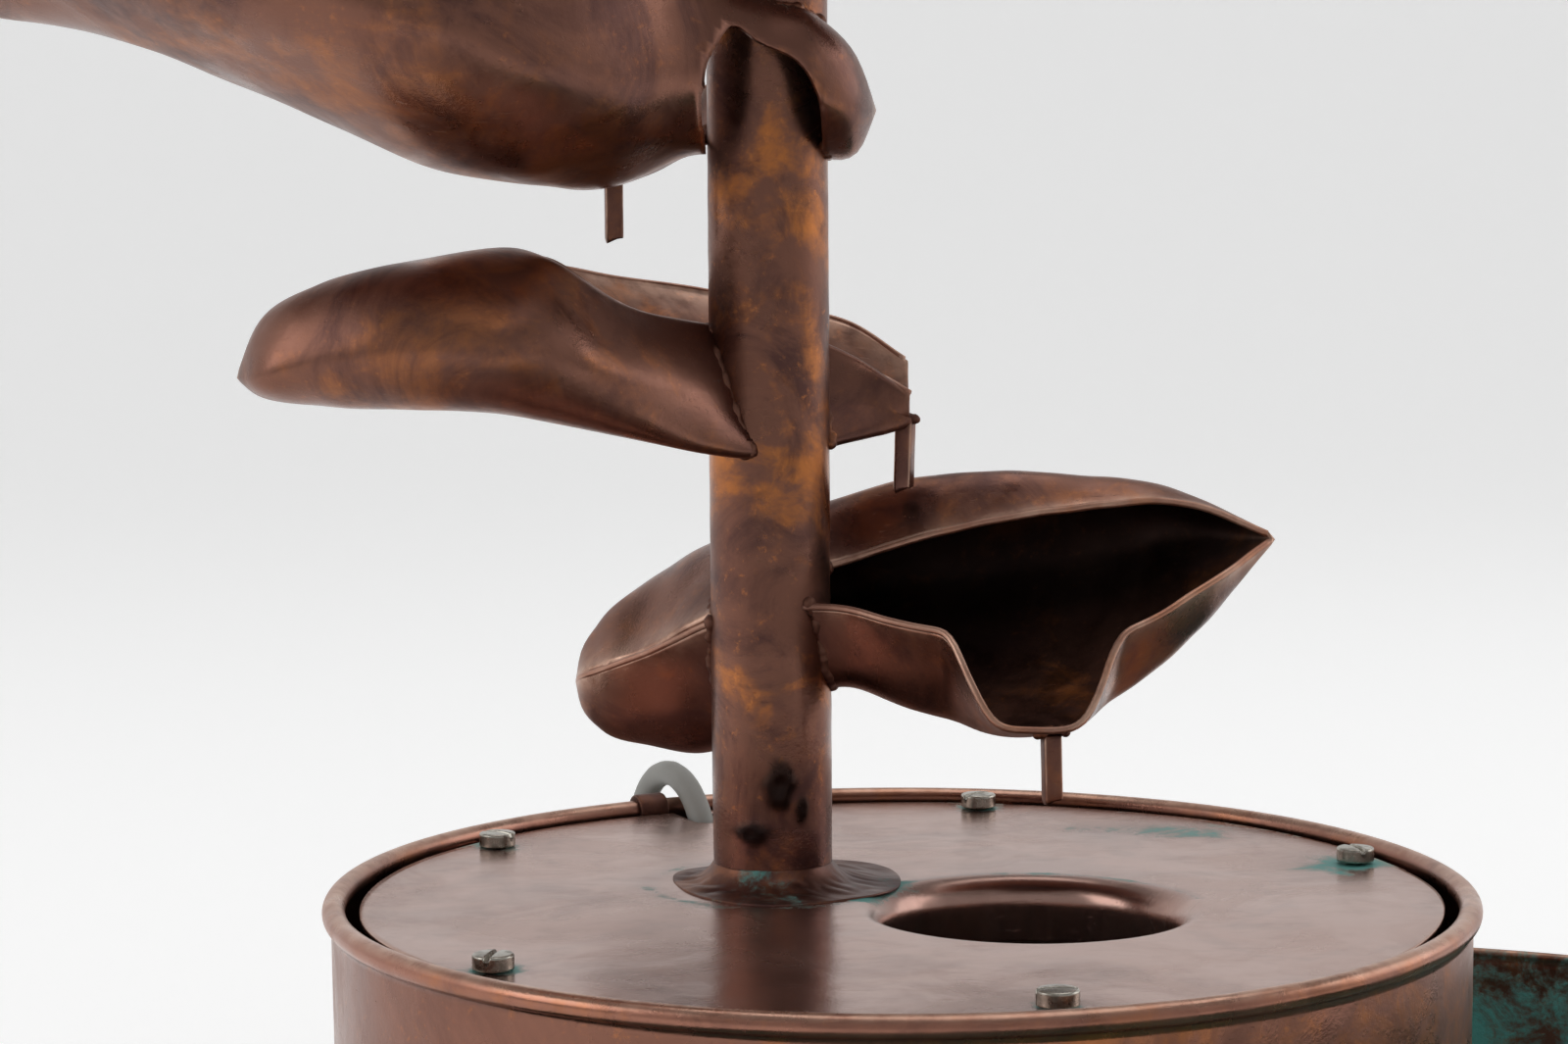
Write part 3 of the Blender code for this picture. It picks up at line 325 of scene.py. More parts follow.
def verdigris_group():
    """Verdigris: a crusty mask that grows where Amount is high."""
    tree, given, out = new_group("Verdigris", (("Vector", None), ("Amount", 0.0)), ("Mask", "Crust"))
    vector = given["Vector"]
    patches = noise(tree, vector, 60.0, 6.0, 0.7, 0.6)
    grains = noise(tree, vector, 700.0, 3.0, 0.6)
    field = maths(tree, "ADD", patches, maths(tree, "MULTIPLY", grains, 0.22))
    field = maths(tree, "ADD", field, given["Amount"])
    tree.links.new(between(tree, field, 0.86, 1.12), out["Mask"])
    tree.links.new(maths(tree, "MULTIPLY", grains, between(tree, field, 0.86, 1.2)), out["Crust"])
    return tree


def wear_group():
    """Handling wear: a rubbed mask from the edge attribute, and a height of dents and scratches."""
    tree, given, out = new_group("Handling wear", (("Vector", None), ("Edge", 0.0)),
                                 ("Rubbed", "Height", "Smudge"))
    vector = given["Vector"]
    broken = noise(tree, vector, 160.0, 4.0, 0.6)
    rubbed = maths(tree, "MULTIPLY", given["Edge"], between(tree, broken, 0.30, 0.62, 0.35, 1.0))
    tree.links.new(rubbed, out["Rubbed"])
    dents = noise(tree, vector, 45.0, 2.0, 0.5)
    pits = noise(tree, vector, 900.0, 3.0, 0.7)
    drawn = add(tree, "Mapping", {"Vector": vector, "Rotation": (0.4, 0.9, 0.3), "Scale": (1.0, 22.0, 22.0)})
    scratches = between(tree, noise(tree, drawn.outputs[0], 60.0, 2.0, 0.6), 0.66, 0.72)
    height = maths(tree, "ADD", maths(tree, "MULTIPLY", dents, 1.0), maths(tree, "MULTIPLY", pits, 0.10))
    height = maths(tree, "SUBTRACT", height, maths(tree, "MULTIPLY", scratches, 0.05))
    tree.links.new(height, out["Height"])
    smudge = noise(tree, vector, 26.0, 5.0, 0.65, 0.8)
    tree.links.new(between(tree, smudge, 0.34, 0.66), out["Smudge"])
    return tree


# Black of the column's burnt blisters, also used as painted shade deep in the leaves' hollows
BURNT_AND_SHADE_BLACK = (0.008, 0.006, 0.006)


def opaque(values):
    return (*values, 1.0)


def start_skin(name):
    """A material with a Principled shader, and its Object coordinates."""
    skin = bpy.data.materials.new(name)
    skin.use_nodes = True
    tree = skin.node_tree
    shader = tree.nodes["Principled BSDF"]
    place = tree.nodes.new("ShaderNodeTexCoord").outputs["Object"]
    return skin, tree, shader, place


def use_group(tree, name, inputs):
    made = tree.nodes.new("ShaderNodeGroup")
    made.node_tree = bpy.data.node_groups[name]
    for key, value in inputs.items():
        if isinstance(value, bpy.types.NodeSocket):
            tree.links.new(value, made.inputs[key])
        else:
            made.inputs[key].default_value = value
    return made.outputs


def layer(tree, key):
    return add(tree, "Attribute", attribute_name=key).outputs["Fac"]


def copper_skin(name, base, bloom=0.75, dark=0.7, green=0.0, rough=(0.30, 0.52), scale=16.0, metal=0.92,
                ochre=None, rubbed=1.0, shaded_hollow=False):
    """Aged copper: bloom and dark clouds over a base tone, verdigris in the joints, rubbed edges, black burnt
    blisters; with the hollow switch on, painted shade that darkens the leaves' hollows to black.
    """
    tones = bpy.context.scene.fountain_colours
    skin, tree, shader, place = start_skin(name)
    clouds = use_group(tree, "Heat bloom", {"Vector": place, "Scale": scale})
    wear = use_group(tree, "Handling wear", {"Vector": place, "Edge": layer(tree, "edge")})
    joint = layer(tree, "joint")
    amount = maths(tree, "ADD", maths(tree, "MULTIPLY", joint, 0.25), green)
    crust = use_group(tree, "Verdigris", {"Vector": place, "Amount": amount})
    heat = layer(tree, "heat")
    freckled = maths(tree, "MULTIPLY", heat, between(tree, clouds["Freckles"], 0.0, 1.0, 0.40, 1.0))
    amber = maths(tree, "ADD", maths(tree, "MULTIPLY", clouds["Ochre"], bloom), freckled, clamp=True)
    paint = blend(tree, amber, opaque(base), opaque(ochre or tones.ochre))
    paint = blend(tree, maths(tree, "MULTIPLY", clouds["Dark"], dark), paint, opaque(tones.plum))
    paint = blend(tree, maths(tree, "MULTIPLY", clouds["Freckles"], 0.45 * bloom), paint,
                  opaque([min(1.0, value * 1.35) for value in tones.ochre]))
    paint = blend(tree, maths(tree, "MULTIPLY", joint, 0.6), paint, opaque(tones.plum))
    # Black from the column's burnt blisters; for the leaves' hollows this is painted shade, laid where shade falls
    # inside the trough
    black = maths(tree, "MULTIPLY", layer(tree, "hollow_shade" if shaded_hollow else "burnt"), 0.9)
    paint = blend(tree, black, paint, opaque(BURNT_AND_SHADE_BLACK))
    paint = blend(tree, maths(tree, "MULTIPLY", wear["Rubbed"], rubbed), paint, opaque(tones.pale))
    paint = blend(tree, crust["Mask"], paint, opaque(tones.verdigris))
    tree.links.new(paint, shader.inputs["Base Color"])
    gloss = between(tree, wear["Smudge"], 0.0, 1.0, rough[0], rough[1])
    gloss = maths(tree, "ADD", gloss, maths(tree, "MULTIPLY", crust["Mask"], 0.4), clamp=True)
    tree.links.new(gloss, shader.inputs["Roughness"])
    bare = maths(tree, "SUBTRACT", 1.0, maths(tree, "MULTIPLY", crust["Mask"], 0.8))
    metallic = maths(tree, "MULTIPLY", bare, metal)
    tree.links.new(metallic, shader.inputs["Metallic"])
    height = maths(tree, "ADD", wear["Height"], maths(tree, "MULTIPLY", crust["Crust"], 0.6))
    bump = add(tree, "Bump", {"Height": height, "Strength": 0.55, "Distance": 0.0009})
    tree.links.new(bump.outputs["Normal"], shader.inputs["Normal"])
    return skin


def metal_skin(name, base, rough, grain=300.0, tarnish=(0.10, 0.08, 0.06), amount=0.5):
    """A plain metal with tarnish in patches and a fine grain."""
    skin, tree, shader, place = start_skin(name)
    patches = between(tree, noise(tree, place, grain, 5.0, 0.65), 0.42, 0.68, 0.0, amount)
    tree.links.new(blend(tree, patches, opaque(base), opaque(tarnish)), shader.inputs["Base Color"])
    dulled = maths(tree, "ADD", maths(tree, "MULTIPLY", patches, 0.35), rough)
    tree.links.new(dulled, shader.inputs["Roughness"])
    shader.inputs["Metallic"].default_value = 1.0
    bump = add(tree, "Bump", {"Height": noise(tree, place, grain * 4, 3.0, 0.6), "Strength": 0.25,
                              "Distance": 0.0002})
    tree.links.new(bump.outputs["Normal"], shader.inputs["Normal"])
    return skin


def plain_skin(name, base, rough, grain=900.0, depth=0.00012, mottle=0.25, see_through=0.0):
    """Moulded plastic, rubber, foam or ceramic: a tone that varies a little, over a fine grain."""
    skin, tree, shader, place = start_skin(name)
    cloud = between(tree, noise(tree, place, 40.0, 4.0, 0.6), 0.3, 0.7, 0.0, mottle)
    deep = opaque([value * 0.55 for value in base])
    tree.links.new(blend(tree, cloud, opaque(base), deep), shader.inputs["Base Color"])
    tree.links.new(maths(tree, "ADD", maths(tree, "MULTIPLY", cloud, 0.3), rough, clamp=True),
                   shader.inputs["Roughness"])
    bump = add(tree, "Bump", {"Height": noise(tree, place, grain, 3.0, 0.6), "Strength": 0.5,
                              "Distance": depth})
    tree.links.new(bump.outputs["Normal"], shader.inputs["Normal"])
    if see_through:
        shader.inputs["Transmission Weight"].default_value = see_through
    return skin


def lid_skin(name):
    """The lid's satin copper: rose-grey, with verdigris stains round the fixings and by the hole."""
    tones = bpy.context.scene.fountain_colours
    skin, tree, shader, place = start_skin(name)
    clouds = use_group(tree, "Heat bloom", {"Vector": place, "Scale": 14.0})
    wear = use_group(tree, "Handling wear", {"Vector": place, "Edge": layer(tree, "edge")})
    joint = layer(tree, "joint")
    crust = use_group(tree, "Verdigris", {"Vector": place, "Amount": maths(tree, "MULTIPLY", joint, 0.42)})
    throat = layer(tree, "heat")
    paint = blend(tree, maths(tree, "MULTIPLY", clouds["Ochre"], 0.35),
                  opaque(tones.lid), opaque(tones.copper))
    paint = blend(tree, maths(tree, "MULTIPLY", clouds["Dark"], 0.22), paint, opaque(tones.plum))
    burnt = maths(tree, "ADD", clouds["Freckles"], clouds["Ochre"], clamp=True)
    inner = blend(tree, burnt, opaque(tones.copper), opaque(tones.ochre))
    inner = blend(tree, maths(tree, "MULTIPLY", clouds["Dark"], 0.7), inner, opaque(tones.plum))
    paint = blend(tree, throat, paint, inner)
    paint = blend(tree, maths(tree, "MULTIPLY", joint, 0.45), paint, opaque(tones.plum))
    paint = blend(tree, crust["Mask"], paint, opaque(tones.verdigris))
    paint = blend(tree, maths(tree, "MULTIPLY", wear["Rubbed"], 0.5), paint, opaque(tones.pale))
    tree.links.new(paint, shader.inputs["Base Color"])
    gloss = between(tree, wear["Smudge"], 0.0, 1.0, 0.21, 0.28)
    gloss = maths(tree, "ADD", gloss, maths(tree, "MULTIPLY", crust["Mask"], 0.35), clamp=True)
    tree.links.new(gloss, shader.inputs["Roughness"])
    tree.links.new(between(tree, crust["Mask"], 0.0, 1.0, 0.95, 0.25), shader.inputs["Metallic"])
    bump = add(tree, "Bump", {"Height": wear["Height"], "Strength": 0.35, "Distance": 0.0008})
    tree.links.new(bump.outputs["Normal"], shader.inputs["Normal"])
    return skin


def make_skins():
    """Builds the shared groups and every finish, by name."""
    tones = bpy.context.scene.fountain_colours
    bloom_group()
    verdigris_group()
    wear_group()
    copper = tuple(tones.copper)
    dim = tuple(value * 0.75 for value in copper)
    copper_skin("Leaf copper", copper, bloom=0.42, dark=0.72, rough=(0.24, 0.42))
    # The leaves' insides: more bloom, some verdigris and rougher; the darker base and the black laid deep inside
    # are painted shade
    copper_skin("Leaf hollow", dim, bloom=0.8, dark=0.6, green=0.06, rough=(0.34, 0.6), shaded_hollow=True)
    copper_skin("Leaf lip", tuple(value * 1.5 for value in copper), bloom=0.4, dark=0.35, rubbed=0.9)
    copper_skin("Column copper", copper, bloom=0.95, dark=0.8, rough=(0.24, 0.42), scale=22.0)
    copper_skin("Drum copper", tuple(value * 1.25 for value in copper), bloom=0.7, dark=0.35, rough=(0.22, 0.36),
                scale=9.0)
    copper_skin("Rim copper", tuple(value * 1.7 for value in copper), bloom=0.35, dark=0.45,
                rough=(0.22, 0.36))
    copper_skin("Brazing", dim, bloom=0.5, dark=0.8, green=0.02, rough=(0.36, 0.6), rubbed=0.4)
    copper_skin("Tray copper", dim, bloom=0.35, dark=0.7, green=0.33, rough=(0.32, 0.55), scale=12.0,
                rubbed=0.6)
    copper_skin("Hidden copper", copper, bloom=0.5, dark=0.5)
    lid_skin("Lid copper fine")
    metal_skin("Tarnished nickel", tuple(tones.screw), 0.24)
    metal_skin("Bright steel", (0.66, 0.66, 0.65), 0.16, amount=0.2)
    metal_skin("Ferrite", (0.09, 0.09, 0.095), 0.42, grain=700.0)
    plain_skin("Pump plastic fine", (0.018, 0.018, 0.02), 0.42, mottle=0.4)
    plain_skin("Rubber fine", (0.028, 0.028, 0.03), 0.62, grain=1500.0)
    plain_skin("Cord sheath fine", tuple(tones.cord), 0.48, grain=2200.0, depth=0.00006, mottle=0.3)
    plain_skin("Clear vinyl", (0.72, 0.78, 0.74), 0.14, depth=0.00005, mottle=0.15, see_through=0.85)
    plain_skin("Ceramic", (0.84, 0.82, 0.77), 0.2, mottle=0.1)
    plain_skin("Open foam", (0.03, 0.03, 0.032), 0.92, grain=600.0, depth=0.002, mottle=0.6)


# ---- cord ----------------------------------------------------------------------------------

CORD_ROUTE = (
    (-94.7, 15.0, 33.0), (-98.0, 15.0, 33.0), (-108.0, 17.7, 33.1), (-115.3, 25.0, 33.4),
    (-118.0, 35.0, 33.9), (-115.3, 45.0, 34.7), (-108.0, 52.3, 35.6), (-94.0, 63.5, 42.3),
    (-81.0, 73.8, 49.8), (-68.0, 84.2, 57.9), (-53.5, 95.7, 68.0), (-49.0, 99.3, 75.0),
    (-46.2, 101.5, 88.0), (-47.6, 104.4, 100.0), (-51.2, 112.4, 108.8), (-56.2, 123.3, 112.0),
    (-61.2, 134.2, 108.8), (-64.8, 142.2, 100.0), (-66.1, 145.1, 88.0), (-66.1, 145.1, 71.8),
    (-67.6, 148.3, 58.8), (-71.5, 157.0, 49.3), (-76.9, 168.8, 45.8), (-82.7, 181.5, 43.4),
    (-86.4, 189.7, 36.5), (-88.7, 194.7, 25.2), (-91.0, 199.7, 13.9), (-94.7, 207.8, 7.0),
    (-99.3, 217.8, 4.2), (-103.6, 227.5, 3.6), (-107.0, 237.5, 3.6), (-109.6, 249.0, 3.6),
    (-110.7, 262.0, 3.6), (-110.8, 276.3, 3.6),
)
COIL_CENTRE = (-70.0, 300.0)
COIL_RADIUS = 34.0
COIL_PITCH = 6.8
COIL_LOW, COIL_HIGH = 3.6, 10.35
# The coil's turns, innermost last on the floor and then out again on top: (column, height)
COIL_TURNS = ((1, COIL_LOW), (0, COIL_LOW), (-1, COIL_LOW), (-1, COIL_HIGH), (0, COIL_HIGH), (1, COIL_HIGH))
COIL_TURN_COUNT = 5.5
POINTS_A_TURN = 40


def coil_points():
    """Turns that run clockwise from the coil's -X side; each steps over to the next near its end."""
    turn = np.linspace(0.0, COIL_TURN_COUNT, int(COIL_TURN_COUNT * POINTS_A_TURN) + 1)
    laid = np.array(COIL_TURNS, float)
    now = np.minimum(turn.astype(int), len(laid) - 1)
    following = np.minimum(now + 1, len(laid) - 1)
    share = np.clip((turn - now - 0.80) / 0.20, 0.0, 1.0)
    share = (share * share * (3 - 2 * share))[:, None]
    column, height = ((1 - share) * laid[now] + share * laid[following]).T
    radius = COIL_RADIUS + column * COIL_PITCH
    angle = math.pi - 2 * math.pi * turn
    return np.stack([COIL_CENTRE[0] + radius * np.cos(angle), COIL_CENTRE[1] + radius * np.sin(angle), height],
                    axis=1)


def cord_line():
    """The whole cord's line in mm: the route, the coil's turns, and the tail into the plug."""
    route = np.array(CORD_ROUTE)
    keys = np.concatenate([[0.0], np.cumsum(np.linalg.norm(np.diff(route, axis=0), axis=1))])
    first = smooth_through(keys, route, np.linspace(0.0, keys[-1], 170))
    turns = coil_points()
    gap = np.linspace(first[-1], turns[0], 5)[1:-1]
    low, high = corners("plug_body")
    back = np.array([(low[0] + high[0]) / 2, high[1] + 0.3, (low[2] + high[2]) / 2])
    share = np.linspace(0.0, 1.0, 9)[1:, None]
    ease = share * share * (3 - 2 * share)
    tail = turns[-1] + (back - turns[-1]) * np.concatenate([share, share, ease], axis=1)
    return np.concatenate([first, gap, turns, tail]), back


class FOUNTAIN_OT_cord(bpy.types.Operator):
    """Mains cord from the pump's gland over both rims to a round coil and its plug"""

    bl_idname = "fountain.cord"
    bl_label = "Cord, gland and plug"

    def execute(self, context):
        sizes = context.scene.fountain_sizes
        points, back = cord_line()
        data = bpy.data.curves.new("mains_cord", "CURVE")
        data.dimensions = "3D"
        data.bevel_depth = sizes.cord / 2
        data.bevel_resolution = 5
        data.use_fill_caps = True
        spline = data.splines.new("POLY")
        spline.points.add(len(points) - 1)
        spline.points.foreach_set("co", np.c_[points * MM, np.ones(len(points))].ravel())
        spline.use_smooth = True
        data.materials.append(bpy.data.materials["Cord sheath fine"])
        cord = bpy.data.objects.new("mains_cord", data)
        context.scene.collection.objects.link(cord)
        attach(cord, BASE)
        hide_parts("power_cord", "cord_coil", "cord_tail")
        plug = self.make_plug()
        gland = self.make_gland()
        tie = self.make_tie()
        return {"FINISHED"}

    def make_plug(self):
        """A moulded plug: a superellipse carried from its cord sleeve to its face, with finger grips."""
        low, high = corners("plug_body")
        middle = (low + high) / 2
        half_width, half_height = (high[0] - low[0]) / 2, (high[2] - low[2]) / 2
        run = np.array((0.0, 0.6, 1.5, 3.0, 6.0, 9.0, 12.0, 15.0, 18.0, 21.0, 24.0, 27.0, 29.5, 31.2, 32.0))
        wide = np.array((4.4, 4.9, 5.0, 5.4, 8.0, 10.6, 11.7, 11.3, 11.9, 11.4, 12.2, 12.8, 13.0, 12.6, 11.9))
        tall = np.array((4.4, 4.9, 5.0, 5.1, 5.7, 6.2, 6.5, 6.2, 6.5, 6.2, 6.6, 6.9, 7.0, 6.7, 6.1))
        fine = np.linspace(0.0, 32.0, 97)
        wide = np.minimum(smooth_through(run, wide, fine), half_width)[:, None]
        tall = np.minimum(smooth_through(run, tall, fine), half_height)[:, None]
        angle = np.linspace(0.0, 2 * math.pi, 64, endpoint=False)
        across = np.sign(np.cos(angle)) * np.abs(np.cos(angle)) ** 0.72
        up = np.sign(np.sin(angle)) * np.abs(np.sin(angle)) ** 0.72
        rings = np.stack([middle[0] + wide * across, np.broadcast_to(high[1] - fine[:, None], (97, 64)),
                          middle[2] + tall * up], axis=-1)
        rings = with_ends(rings)
        faces = grid_faces(len(rings), 64, wrap_columns=True)
        plug = make_piece("plug_moulding", rings, faces, [bpy.data.materials["Cord sheath fine"]], BASE,
                          ["plug_body"])
        return plug

    def make_gland(self):
        """A tapered strain relief with ribs round it, from the pump's back to the cord."""
        low, high = corners("cord_gland")
        centre = (low + high) / 2
        along = np.linspace(0.0, high[0] - low[0], 120)
        radius = np.where(along < 2.5, 7.4, 5.7 - (5.7 - 3.7) * (along - 2.5) / (along[-1] - 2.5))
        radius = radius - np.where((along > 4.5) & (np.sin(along * 2 * math.pi / 2.4) > 0.35), 0.7, 0.0)
        angle = np.linspace(0.0, 2 * math.pi, 48, endpoint=False)
        rings = np.stack([np.broadcast_to(high[0] - along[:, None], (120, 48)),
                          centre[1] + radius[:, None] * np.cos(angle), centre[2] + radius[:, None] * np.sin(angle)],
                         axis=-1)
        rings = with_ends(rings)
        gland = make_piece("strain_relief", rings, grid_faces(122, 48, wrap_columns=True),
                           [bpy.data.materials["Rubber fine"]], BASE, ["cord_gland"])
        return gland

    def make_tie(self):
        """A twist tie: a flat band bent round the coil's bundle of turns."""
        angle = math.radians(200.0)
        away = np.array([math.cos(angle), math.sin(angle), 0.0])
        centre = np.array([*COIL_CENTRE, 0.0]) + away * COIL_RADIUS + np.array([0.0, 0.0, 6.95])
        turn = np.linspace(0.0, 2 * math.pi, 64, endpoint=False)
        squarish = 2.0 / 5.0
        out = np.sign(np.cos(turn)) * np.abs(np.cos(turn)) ** squarish * 10.6
        up = np.sign(np.sin(turn)) * np.abs(np.sin(turn)) ** squarish * 6.75
        path = centre + out[:, None] * away + up[:, None] * np.array([0.0, 0.0, 1.0])
        side = np.array([-away[1], away[0], 0.0])
        outer = path + (path - centre) * 0.02
        band = np.stack([path - side * 2.0, outer - side * 2.0, outer + side * 2.0, path + side * 2.0], axis=1)
        tie = make_piece("cord_tie", band, grid_faces(64, 4, True, True),
                         [bpy.data.materials["Rubber fine"]], BASE)
        return tie


# ---- leaves --------------------------------------------------------------------------------

# Each station is a slice across a leaf: its place along the leaf, then (across, up) of its open
# rim, keel, belly, crest and hood edge, in mm from the column's axis and the lid's top face.
LOW_LEAF = (
    (-46.5, (30, 44), (30, 44), (30, 44), (30, 44), (30, 44)),
    (-45.5, (25, 46), (29, 39), (34, 44), (31, 50), (25, 46)),
    (-41, (19, 48.5), (28, 33.5), (39, 45), (31.5, 57), (19, 48.5)),
    (-29, (9, 54), (23, 30.5), (45, 48), (32, 67), (9, 54)),
    (-15, (-1, 62), (18, 30), (47, 51), (29, 76), (-1, 62)),
    (0, (-9, 66), (9, 39), (46, 56), (25, 82.5), (-5, 71)),
    (15, (-13, 67), (-1, 48), (43, 61), (23, 87.5), (5, 75)),
    (34, (-24, 64), (-5, 42.8), (39, 65), (21, 92.5), (7, 80)),
    (59, (-33, 62), (-9, 39.5), (34, 68), (19, 94), (6, 85.5)),
    (79, (-29, 63), (-7, 46), (27, 72), (16, 93), (5, 88)),
    (99, (-17, 72), (-5, 62), (16, 78), (11, 89), (4, 88)),
    (117, (0, 81), (0, 81), (0, 81), (0, 81), (0, 81)),
)
MIDDLE_LEAF = (
    (-119, (-26, 122), (-26, 122), (-26, 122), (-26, 122), (-26, 122)),
    (-114, (-17, 128), (-26, 119), (-36, 122), (-27, 133), (-17, 128)),
    (-100, (-8, 136), (-30, 117), (-45, 126), (-30, 142), (-8, 136)),
    (-78, (0, 142), (-32, 116.5), (-52, 129), (-30, 147), (0, 142)),
    (-58, (8, 145), (-30, 115), (-50, 128), (-26, 149), (-4, 147)),
    (-50, (18, 145), (-28, 113.5), (-46, 127), (-30, 146), (-24, 146.5)),
    (-36, (26, 142), (-24, 110.5), (-38, 122), (-22, 137), (-20, 137.5)),
    (-15, (32, 138.5), (-16, 105.5), (-18, 116), (-4, 130.5), (-2, 130)),
    (5, (34, 134), (-5, 104), (2, 112), (12, 128), (14, 128)),
    (20, (30, 130), (4, 106.5), (8, 112), (14, 122), (16, 121)),
    (33, (22, 122), (12, 109), (9, 110), (8, 113), (9, 114.5)),
)
HIGH_LEAF = (
    (24, (-1, 181), (-1, 181), (-1, 181), (-1, 181), (-1, 181)),
    (20, (7, 183), (-1, 172.5), (-12, 181), (-5, 192), (7, 183)),
    (11, (17, 186), (1, 171.5), (-20, 183), (-7, 201), (17, 186)),
    (-1, (23, 188), (-1, 171), (-24, 185), (-11, 207), (9, 204)),
    (-16, (25, 188), (-10, 172), (-31, 188), (-17, 214), (-3, 214)),
    (-37, (23, 186), (-20, 166), (-49, 186), (-33, 222), (-21, 222)),
    (-71, (25, 196), (-23, 168.5), (-67, 196), (-49, 232), (-37, 232)),
    (-111, (21, 208), (-17, 185), (-63, 208), (-51, 240), (-41, 240)),
    (-151, (15, 216), (-7, 200.5), (-43, 216), (-39, 238), (-31, 239)),
    (-186, (9, 220), (1, 207), (-15, 218), (-19, 230), (-15, 231)),
    (-216, (3, 218), (3, 218), (3, 218), (3, 218), (3, 218)),
)
SECTION_KEYS = (0.0, 0.25, 0.52, 0.82, 1.0)
LOW_SPOUT = (60.0, (-39.0, 42.5), 15.5)
HIGH_SPOUT = (-34.0, (10.0, 167.5), 15.0)
# Each leaf: stations, spout, turn about the column in degrees, size and lift of the lowest station
LEAVES = (
    (LOW_LEAF, LOW_SPOUT, 0.0, 1.0, 0.0),
    (MIDDLE_LEAF, None, 0.0, 1.0, 0.0),
    (HIGH_LEAF, HIGH_SPOUT, 0.0, 1.0, 0.0),
    (MIDDLE_LEAF, None, 176.0, 1.12, 140.0),
    (LOW_LEAF, LOW_SPOUT, 31.0, 0.8, 266.0),
    (MIDDLE_LEAF, None, -8.0, 0.8, 252.0),
)
ARCH_LEAF = 3
ARCH = ((-11.0, 150.0), (-11.0, 196.0), (-8.0, 199.5), (-2.0, 196.0), (7.0, 191.5),
        (11.0, 185.0), (12.5, 176.0), (12.5, 150.0))


def leaf_surface(stations, spout, along, rounds):
    """The inner face of a leaf as a grid of slices.

    The stations are joined by a smooth cubic along the leaf and again round each slice. A spout
    pulls the open rim down to its lip by exp(-|distance / half width| to the fifth).
    """
    points = np.array([[(row[0], *pair) for pair in row[1:]] for row in stations], float)
    run = np.linalg.norm(np.diff(points.mean(axis=1), axis=0), axis=1)
    change = np.linalg.norm(np.diff(points, axis=0), axis=2).max(axis=1)
    keys = np.concatenate([[0.0], np.cumsum(np.sqrt(run * change))])
    slices = smooth_through(keys, points, np.linspace(0.0, keys[-1], along))
    if spout:
        reach = np.exp(-np.abs((slices[:, 0, 0] - spout[0]) / spout[2]) ** 5)[:, None]
        slices[:, 0, 1:] += reach * (np.array(spout[1]) - slices[:, 0, 1:])
    surface = smooth_through(SECTION_KEYS, slices.transpose(1, 0, 2), np.linspace(0.0, 1.0, rounds))
    return surface.transpose(1, 0, 2)


def stand_leaf(points, turn, size, lift, base):
    """Scales a leaf about its column and lowest station, turns it and lifts it on to the lid."""
    points = points * size
    angle = math.radians(turn)
    x = points[..., 0] * math.cos(angle) - points[..., 1] * math.sin(angle)
    y = points[..., 0] * math.sin(angle) + points[..., 1] * math.cos(angle)
    z = points[..., 2] + base * (1.0 - size) + lift
    return np.stack([x + COLUMN_AXIS[0], y + COLUMN_AXIS[1], z + LID_TOP], axis=-1)


def from_axis(points):
    """Distance of each point from the column's axis."""
    return np.hypot(points[..., 0] - COLUMN_AXIS[0], points[..., 1] - COLUMN_AXIS[1])


def to_outline(flat, outline):
    """The nearest place on a closed outline to each flat point, and whether the point lies inside."""
    start, end = outline, np.roll(outline, -1, axis=0)
    edge = end - start
    share = np.einsum("nmk,mk->nm", flat[:, None] - start[None], edge) / (edge ** 2).sum(axis=1)
    spot = start + np.clip(share, 0.0, 1.0)[..., None] * edge
    nearest = np.linalg.norm(spot - flat[:, None], axis=2).argmin(axis=1)
    level = (start[None, :, 1] > flat[:, None, 1]) != (end[None, :, 1] > flat[:, None, 1])
    rise = np.where(np.abs(edge[:, 1]) < 1e-9, 1e-9, edge[:, 1])
    crossing = start[:, 0] + (flat[:, None, 1] - start[:, 1]) * edge[:, 0] / rise
    inside = (level & (flat[:, None, 0] < crossing)).sum(axis=1) % 2 == 1
    return spot[np.arange(len(flat)), nearest], inside


def trimmed(points, faces, gone, snapped):
    """Takes away the faces in a region, and draws the edge that is left on to the region's outline."""
    kept = faces[~gone]
    edge = np.intersect1d(faces[gone].ravel(), kept.ravel())
    points = points.copy()
    points[edge] = snapped(points[edge])
    return points, kept


def to_wall(points):
    """Points drawn straight out or in to the middle of the column's wall."""
    offset = points[:, :2] - COLUMN_AXIS
    reach = np.linalg.norm(offset, axis=1, keepdims=True)
    flat = COLUMN_AXIS + offset / np.maximum(reach, 1e-6) * (COLUMN_RADIUS - 0.7)
    return np.c_[flat, points[:, 2]]


def crossings(surface, low, high):
    """Places where a leaf's grid meets the column's outside, for the brazing."""
    found = []
    for axis in (0, 1):
        first = surface[:-1] if axis == 0 else surface[:, :-1]
        second = surface[1:] if axis == 0 else surface[:, 1:]
        gap_first = from_axis(first) - COLUMN_RADIUS
        gap_second = from_axis(second) - COLUMN_RADIUS
        hit = gap_first * gap_second < 0
        share = (gap_first[hit] / (gap_first[hit] - gap_second[hit]))[:, None]
        found.append(first[hit] + share * (second[hit] - first[hit]))
    found = np.concatenate(found)
    return found[(found[:, 2] > low) & (found[:, 2] < high)]


def spaced_out(points, gap):
    """Keeps one point in each cube of a coarse grid, so that blobs aren't piled up."""
    _, first = np.unique(np.round(points / gap).astype(int), axis=0, return_index=True)
    return points[np.sort(first)]


